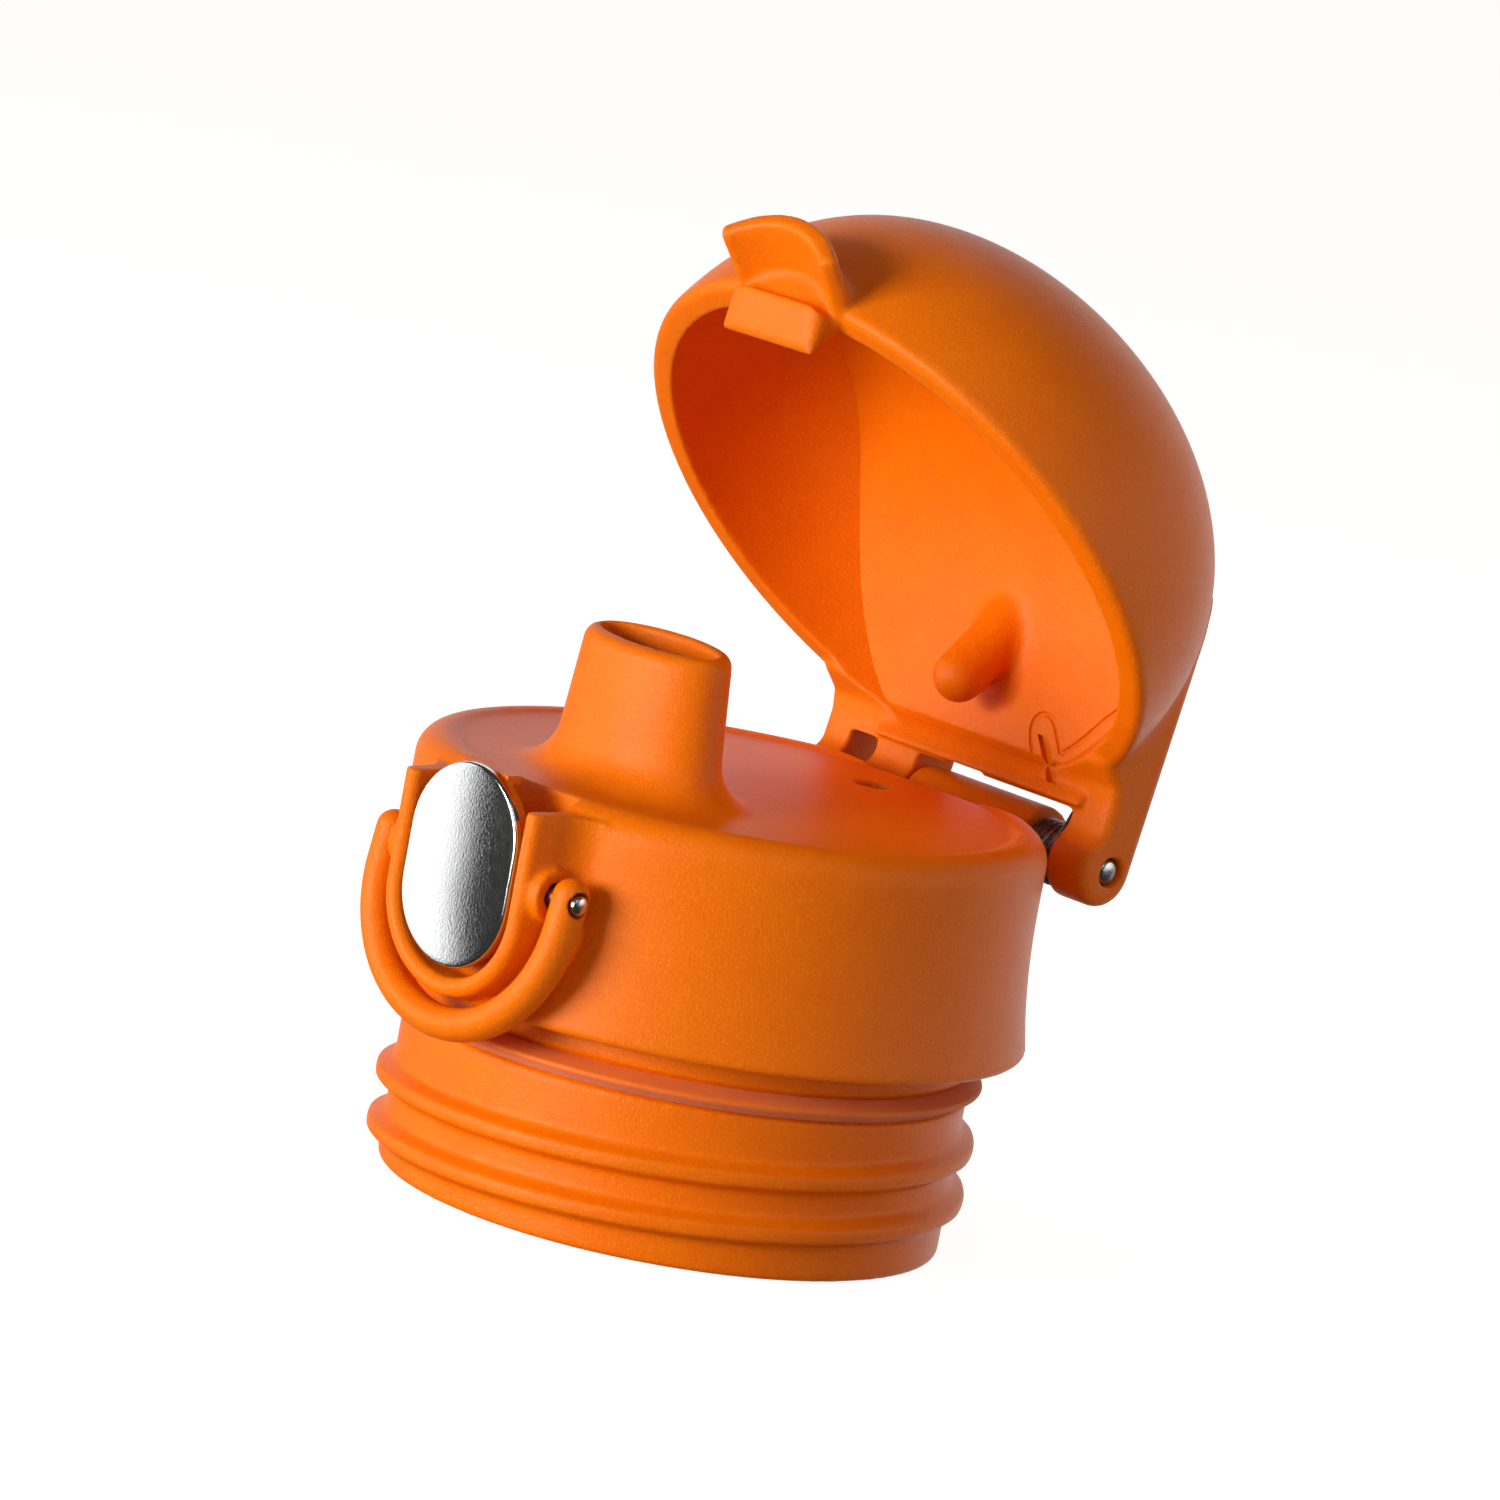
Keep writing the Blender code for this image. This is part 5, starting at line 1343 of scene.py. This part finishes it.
    def build(self, looks: dict[Slot, Material]) -> list[Object]:
        """Make the lid's pieces.

        Args:
            looks: The materials by slot.

        Returns:
            The finished pieces.
        """
        return [self.build_shell(looks[Slot.SHELL]), self.build_liner(looks[Slot.SHELL]),
                self.build_plug(looks[Slot.RUBBER])]


@dataclass
class PressButton:
    """The satin plate, the rocker that carries it and the spring behind it."""

    axes: Axes
    front: float = -0.0361
    half: float = 0.0076
    low: float = 0.03253
    high: float = 0.03776
    thickness: float = 0.0007
    crown: float = 0.0003
    edge: float = 0.0003
    rocker_half: float = 0.0072
    rocker_thickness: float = 0.0011
    boss_radius: float = 0.0019
    hook_half: float = 0.0034
    hook_z: float = 0.0441
    hook_height: float = 0.0009
    hook_tip: float = -0.0329
    pin_bore: float = 0.0013
    spring_z: float = 0.0284
    spring_radius: float = 0.0014
    spring_wire: float = 0.0002
    spring_turns: float = 4.0
    spring_end: float = -0.0309
    spring_keep: float = 0.65
    crown_rings: int = 12
    crown_reach: float = 12.5
    sharp_deg: float = 40.0
    spring_sharp_deg: float = 60.0
    rocker_skin: Skin = Skin(0.00012, 3, 60000)

    def plate(self) -> BMesh:
        """Bridge the crowned plate with its polished rim.

        Returns:
            The plate.
        """
        back = self.front + self.thickness
        rings = [[(x, back, z) for x, z in racetrack(self.half, self.low, self.high)]]
        for angle in (0, 18, 36, 54, 72, 90):
            turn = math.radians(angle)
            inset = self.edge * (1.0 - math.cos(turn))
            y = self.front + self.edge * (1.0 - math.sin(turn))
            rings.append([(x, y, z) for x, z in racetrack(self.half - inset, self.low, self.high)])
        for index in range(1, self.crown_rings + 1):
            share = index / self.crown_reach
            inset = self.edge + (self.half - self.edge) * share
            y = self.front - self.crown * (1.0 - (1.0 - share) ** 2)
            rings.append([(x, y, z) for x, z in racetrack(self.half - inset, self.low, self.high)])
        return loft(rings)

    def rocker(self) -> Moulding:
        """Join the rocker's panel, boss and hook.

        Returns:
            The rocker, not yet skinned.
        """
        axes = self.axes
        front = self.front + self.thickness + GAP
        piece = Moulding("rocker_moulding", along_y(racetrack(self.rocker_half, self.low, self.high), front,
                                                    front + self.rocker_thickness))
        boss = [(front + GAP, axes.latch_z + side * self.boss_radius) for side in (-1.0, 1.0)]
        boss += arc_points((axes.latch_y, axes.latch_z), self.boss_radius, 90.0, -90.0)
        piece.join(along_x(boss, -self.rocker_half, self.rocker_half))
        piece.join(block(-self.hook_half, self.hook_half, front + GAP, self.hook_tip, self.hook_z,
                         self.hook_z + self.hook_height))
        return piece.cut(rod((axes.latch_y, axes.latch_z), self.pin_bore, -self.rocker_half - OVERRUN,
                             self.rocker_half + OVERRUN))

    def spring(self) -> BMesh:
        """Sweep the compression spring, its end turns closed.

        Returns:
            The spring.
        """
        start = self.front + self.thickness + 2.0 * GAP + self.rocker_thickness + self.spring_wire
        end = self.spring_end - self.spring_wire
        steps = round(COIL_STEPS * self.spring_turns)
        points = []
        for index in range(steps + 1):
            share = index / steps
            turn = math.tau * self.spring_turns * share
            points.append(Vector((self.spring_radius * math.cos(turn), start + (end - start) * share,
                                  self.spring_z + self.spring_radius * math.sin(turn))))
        return wire(points, self.spring_wire)

    def build(self, looks: dict[Slot, Material]) -> list[Object]:
        """Make the button's pieces.

        Args:
            looks: The materials by slot.

        Returns:
            The finished pieces.
        """
        plate = mesh_object("press_plate", self.plate())
        smooth_faces(plate, self.sharp_deg)
        rocker = self.rocker().skin(self.rocker_skin).done()
        spring = mesh_object("press_spring", self.spring())
        smooth_faces(spring, self.spring_sharp_deg)
        pieces = [dress(plate, looks[Slot.PLATE], "button", Slot.PLATE, "button_plate"),
                  dress(rocker, looks[Slot.SHELL], "button", Slot.SHELL, "button_rocker"),
                  dress(spring, looks[Slot.SPRING], "body", Slot.SPRING, "button_spring")]
        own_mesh(spring)
        return pieces


@dataclass
class CarryLoop:
    """The loop that swings on the latch pin."""

    axes: Axes
    half: float = 0.0131
    drop: float = 0.0026
    half_width: float = 0.0017
    half_depth: float = 0.0020
    end: float = 0.0024
    bore: float = 0.0013
    section_steps: int = 32
    skin: Skin = Skin(0.00018, 3, 90000)

    def solid(self) -> BMesh:
        """Bridge an oval section round the U, its ends rounded off.

        Returns:
            The loop, not yet bored.
        """
        axes = self.axes
        straight = axes.latch_z + self.end - self.half_width
        stations = [(self.half, straight + self.half_width * math.sin(turn), math.cos(turn))
                    for turn in (math.radians(angle) for angle in (84, 72, 60, 45, 30, 15, 0))]
        arc = arc_points((0.0, axes.latch_z - self.drop), self.half, 0.0, -180.0, 5 * ARC_STEPS)
        middle = [(self.half, axes.latch_z, 1.0), *((x, z, 1.0) for x, z in arc),
                  (-self.half, axes.latch_z, 1.0)]
        stations = stations + middle + [(-x, z, share) for x, z, share in stations[::-1]]
        rings = []
        for index, (x, z, share) in enumerate(stations):
            before, after = stations[max(index - 1, 0)], stations[min(index + 1, len(stations) - 1)]
            along = (Vector(after[:2]) - Vector(before[:2])).normalized()
            rings.append([(x + along.y * self.half_width * share * across,
                           axes.latch_y + self.half_depth * share * depth,
                           z - along.x * self.half_width * share * across)
                          for across, depth in circle((0.0, 0.0), 1.0, self.section_steps)])
        return loft(rings)

    def build(self, looks: dict[Slot, Material]) -> Object:
        """Make the loop.

        Args:
            looks: The materials by slot.

        Returns:
            The finished piece.
        """
        axes = self.axes
        piece = Moulding("loop_moulding", self.solid())
        piece.cut(rod((axes.latch_y, axes.latch_z), self.bore, -self.half - OVERRUN, self.half + OVERRUN))
        piece.skin(self.skin)
        return dress(piece.done(axes.loop_turn()), looks[Slot.SHELL], "loop", Slot.SHELL, "bail")


@dataclass
class Pins:
    """The two steel pins and the lid's torsion spring."""

    axes: Axes
    hinge_radius: float = 0.00125
    hinge_half: float = 0.0207
    latch_radius: float = 0.0010
    latch_half: float = 0.01485
    dome: float = 0.0003
    spring_radius: float = 0.0030
    spring_wire: float = 0.00035
    spring_turns: float = 5.0
    spring_left: float = 0.0114
    spring_right: float = 0.0151
    lid_leg_y: float = 0.0302
    lid_leg: Point2 = (0.0440, 0.0484)
    body_leg: Point2 = (0.0290, 0.0334)
    coil_start_deg: float = 150.0
    pin_steps: int = 40
    sharp_deg: float = 35.0

    def pin(self, centre: Point2, radius: float, half: float) -> BMesh:
        """Bridge a pin with domed and chamfered ends.

        Args:
            centre: The pin's axis as (y, z).
            radius: Its radius.
            half: Half of its length.

        Returns:
            The pin.
        """
        ends = ((0.0, 0.72), (0.25, 0.86), (0.6, 0.95), (1.0, 1.0))
        stations = [(-half + self.dome * depth, share) for depth, share in ends]
        stations += [(-x, share) for x, share in stations[::-1]]
        return loft([[(x, y, z) for y, z in circle(centre, radius * share, self.pin_steps)]
                     for x, share in stations])

    def coil(self) -> list[Vector]:
        """Return the line of the torsion spring's coil and its leg on the skirt.

        Returns:
            Points along the line.
        """
        axes = self.axes
        steps = round(FINE_COIL_STEPS * self.spring_turns)
        points = []
        for index in range(steps + 1):
            share = index / steps
            turn = math.radians(self.coil_start_deg) + math.tau * self.spring_turns * share
            points.append(Vector((self.spring_right + (self.spring_left - self.spring_right) * share,
                                  axes.hinge_y + self.spring_radius * math.cos(turn),
                                  axes.hinge_z + self.spring_radius * math.sin(turn))))
        return points + [Vector((self.spring_left, *self.body_leg))]

    def leg(self) -> list[Vector]:
        """Return the line of the spring's leg behind the lid's web."""
        opened = self.axes.lid_turn()
        ends = [opened @ Vector((self.spring_right, self.lid_leg_y, z)) for z in self.lid_leg[::-1]]
        return ends + [self.coil()[0]]

    def build(self, looks: dict[Slot, Material]) -> list[Object]:
        """Make the pins and the spring, whose upper leg goes with the lid.

        Args:
            looks: The materials by slot.

        Returns:
            The finished pieces.
        """
        axes = self.axes
        hinge_line, latch_line = (axes.hinge_y, axes.hinge_z), (axes.latch_y, axes.latch_z)
        hinge = mesh_object("hinge_axle", self.pin(hinge_line, self.hinge_radius, self.hinge_half))
        latch = mesh_object("latch_axle", self.pin(latch_line, self.latch_radius, self.latch_half))
        coil = mesh_object("lid_spring_coil", wire(self.coil(), self.spring_wire))
        leg = mesh_object("lid_spring_leg", wire(self.leg(), self.spring_wire))
        for item in (hinge, latch, coil, leg):
            smooth_faces(item, self.sharp_deg)
        return [dress(hinge, looks[Slot.PIN], "body", Slot.PIN, "hinge_pin"),
                dress(latch, looks[Slot.PIN], "body", Slot.PIN, "latch_pin"),
                dress(coil, looks[Slot.SPRING], "body", Slot.SPRING, "lid_spring"),
                dress(leg, looks[Slot.SPRING], "lid", Slot.SPRING)]


# Studio


@dataclass(frozen=True)
class Lamp:
    """One soft box, placed round the cap by azimuth from the button's side and by elevation."""

    name: str
    azimuth_deg: float
    elevation_deg: float
    distance: float
    size: Point2
    radiance: float
    colour: Colour = (1.0, 1.0, 1.0)
    aim: Point3 = (0.0, 0.0, 0.045)

    def build(self) -> None:
        """Hang the lamp, its power worked out from how bright its face is."""
        azimuth, elevation = math.radians(self.azimuth_deg), math.radians(self.elevation_deg)
        way = Vector((math.sin(azimuth) * math.cos(elevation), -math.cos(azimuth) * math.cos(elevation),
                      math.sin(elevation)))
        light = bpy.data.lights.new(self.name, "AREA")
        light.shape = "RECTANGLE"
        light.size, light.size_y = self.size
        light.energy = self.radiance * math.pi * self.size[0] * self.size[1]
        light.color = self.colour
        item = bpy.data.objects.new(self.name, light)
        item.location = Vector(self.aim) + way * self.distance
        item.rotation_euler = way.to_track_quat("Z", "Y").to_euler()
        bpy.context.scene.collection.objects.link(item)


@dataclass(frozen=True)
class Viewpoint:
    """The camera's place, found by fitting the cap's outline to the photograph."""

    unit: float = 0.032
    distance_units: float = 26.0
    azimuth_deg: float = 44.2
    elevation_deg: float = 9.952
    base_roll_deg: float = -0.794
    tilt_deg: float = 11.5
    target_units: float = 0.65
    focal_px_per_unit: float = 316.646
    target_px: Point2 = (745.715, 1007.107)
    image_px: float = 1500.0
    sensor_mm: float = 36.0
    clip: Point2 = (0.01, 50.0)

    def build(self) -> None:
        """Place the camera and make it the scene's."""
        azimuth, elevation = math.radians(self.azimuth_deg), math.radians(self.elevation_deg)
        back = Vector((math.sin(azimuth) * math.cos(elevation), -math.cos(azimuth) * math.cos(elevation),
                       math.sin(elevation)))
        right = Vector((math.cos(azimuth), math.sin(azimuth), 0.0))
        up = back.cross(right)

        def rolled(angle_deg: float) -> tuple[Vector, Vector]:
            """Return the camera's right and up, rolled about its view."""
            angle = math.radians(angle_deg)
            cosine, sine = math.cos(angle), math.sin(angle)
            return cosine * right + sine * up, cosine * up - sine * right

        distance = self.distance_units * self.unit
        focal = self.focal_px_per_unit * self.distance_units
        middle = 0.5 * self.image_px
        across, above = rolled(self.base_roll_deg)
        shift_x = (self.target_px[0] - middle) / focal * distance
        shift_y = (middle - self.target_px[1]) / focal * distance
        place = (Vector((0.0, 0.0, self.target_units * self.unit)) + back * distance - across * shift_x
                 - above * shift_y)
        x_axis, y_axis = rolled(self.base_roll_deg + self.tilt_deg)
        camera = bpy.data.cameras.new("photo_view")
        camera.lens = focal / self.image_px * self.sensor_mm
        camera.sensor_width = self.sensor_mm
        camera.clip_start, camera.clip_end = self.clip
        item = bpy.data.objects.new("photo_view", camera)
        bpy.context.scene.collection.objects.link(item)
        item.matrix_world = Matrix((x_axis, y_axis, back)).transposed().to_4x4()
        item.location = place
        bpy.context.scene.camera = item


@dataclass
class Studio:
    """The pale floor, the white backdrop behind the cap, the dark room in front and the soft boxes."""

    floor_half: float = 6.0
    floor_drop: float = 0.0002
    floor_glow: float = 0.87
    floor_tone: float = 0.60
    ambient: float = 0.20
    ambient_colour: Colour = (1.0, 0.78, 0.64)
    backdrop: float = 0.95
    dark_side: float = 0.03
    backdrop_way: Point3 = (-0.375, 0.927, 0.0)
    fade: Point2 = (0.58, 0.86)
    lamps: tuple[Lamp, ...] = field(default_factory=lambda: (
        Lamp("key_box", -9.0, 4.0, 0.75, (0.40, 0.34), 19.5, (1.0, 1.0, 0.86)),
        Lamp("side_box", -63.0, 2.0, 0.70, (0.50, 0.62), 1.3),
        Lamp("fill_box", 60.0, 40.0, 0.75, (0.45, 0.42), 0.9),
        Lamp("rim_box", 130.0, 12.0, 0.75, (0.45, 0.42), 1.7),
    ))

    def build_floor(self) -> None:
        """Lay the pale floor, which keeps the cap's shadow."""
        bm = bmesh.new()
        bmesh.ops.create_grid(bm, x_segments=1, y_segments=1, size=self.floor_half)
        floor = mesh_object("studio_floor", bm)
        floor.data.transform(Matrix.Translation((0.0, 0.0, -self.floor_drop)))
        material = bpy.data.materials.new("pale_floor")
        material.use_nodes = True
        bench = NodeBench(material.node_tree)
        material.node_tree.nodes.remove(material.node_tree.nodes["Principled BSDF"])
        output = material.node_tree.nodes["Material Output"]
        paint = bench.add("BsdfDiffuse", Color=(self.floor_tone, self.floor_tone, self.floor_tone, 1.0))
        glow = bench.add("Emission", Color=(1.0, 1.0, 1.0, 1.0))
        path = bench.add("LightPath")
        seen = bench.scaled(path.outputs["Is Camera Ray"], 0.0, 1.0, 0.0, self.floor_glow)
        bench.link(seen, glow.inputs["Strength"])
        both = bench.add("AddShader")
        bench.link(paint.outputs[0], both.inputs[0])
        bench.link(glow.outputs[0], both.inputs[1])
        bench.link(both.outputs[0], output.inputs["Surface"])
        floor.data.materials.append(material)
        floor.visible_glossy = False

    def build_world(self) -> None:
        """Surround the stage: white to the eye, a low even light, and to mirrors a backdrop in a dark room."""
        world = bpy.data.worlds.new("studio_world")
        bpy.context.scene.world = world
        world.use_nodes = True
        bench = NodeBench(world.node_tree)
        background = world.node_tree.nodes["Background"]
        place = bench.add("TexCoord")
        behind = bench.add("VectorMath", operation="DOT_PRODUCT")
        bench.link(place.outputs["Generated"], behind.inputs[0])
        behind.inputs[1].default_value = self.backdrop_way
        mirrored = bench.scaled(behind.outputs["Value"], *self.fade, self.dark_side, self.backdrop)
        path = bench.add("LightPath")
        seen = bench.add("Math", operation="MAXIMUM")
        bench.link(path.outputs["Is Glossy Ray"], seen.inputs[0])
        bench.link(path.outputs["Is Transmission Ray"], seen.inputs[1])
        level = bench.add("Mix", data_type="FLOAT")
        bench.link(seen.outputs[0], level.inputs[0])
        level.inputs[2].default_value = self.ambient
        bench.link(mirrored, level.inputs[3])
        eye = bench.add("Mix", data_type="FLOAT")
        bench.link(path.outputs["Is Camera Ray"], eye.inputs[0])
        bench.link(level.outputs[0], eye.inputs[2])
        eye.inputs[3].default_value = 1.0
        bench.link(eye.outputs[0], background.inputs["Strength"])
        white = bench.add("Math", operation="MAXIMUM")
        bench.link(path.outputs["Is Camera Ray"], white.inputs[0])
        bench.link(seen.outputs[0], white.inputs[1])
        tint = bench.mixed(white.outputs[0], self.ambient_colour, (1.0, 1.0, 1.0))
        bench.link(tint, background.inputs["Color"])

    def build(self) -> None:
        """Set the stage and its lights."""
        self.build_floor()
        self.build_world()
        for lamp in self.lamps:
            lamp.build()
        Viewpoint().build()
        bpy.context.scene.view_settings.view_transform = "Standard"


def main() -> None:
    """Build the stage and every piece of the cap in order."""
    logging.basicConfig(level=logging.INFO, format="%(message)s")
    axes = Axes()
    Studio().build()
    looks = Finishes().build()
    for part in (CapBody(axes), Neck(), Lid(axes), PressButton(axes), CarryLoop(axes), Pins(axes)):
        part.build(looks)
        LOG.info("%s is in place", type(part).__name__)


if __name__ == "__main__":
    main()
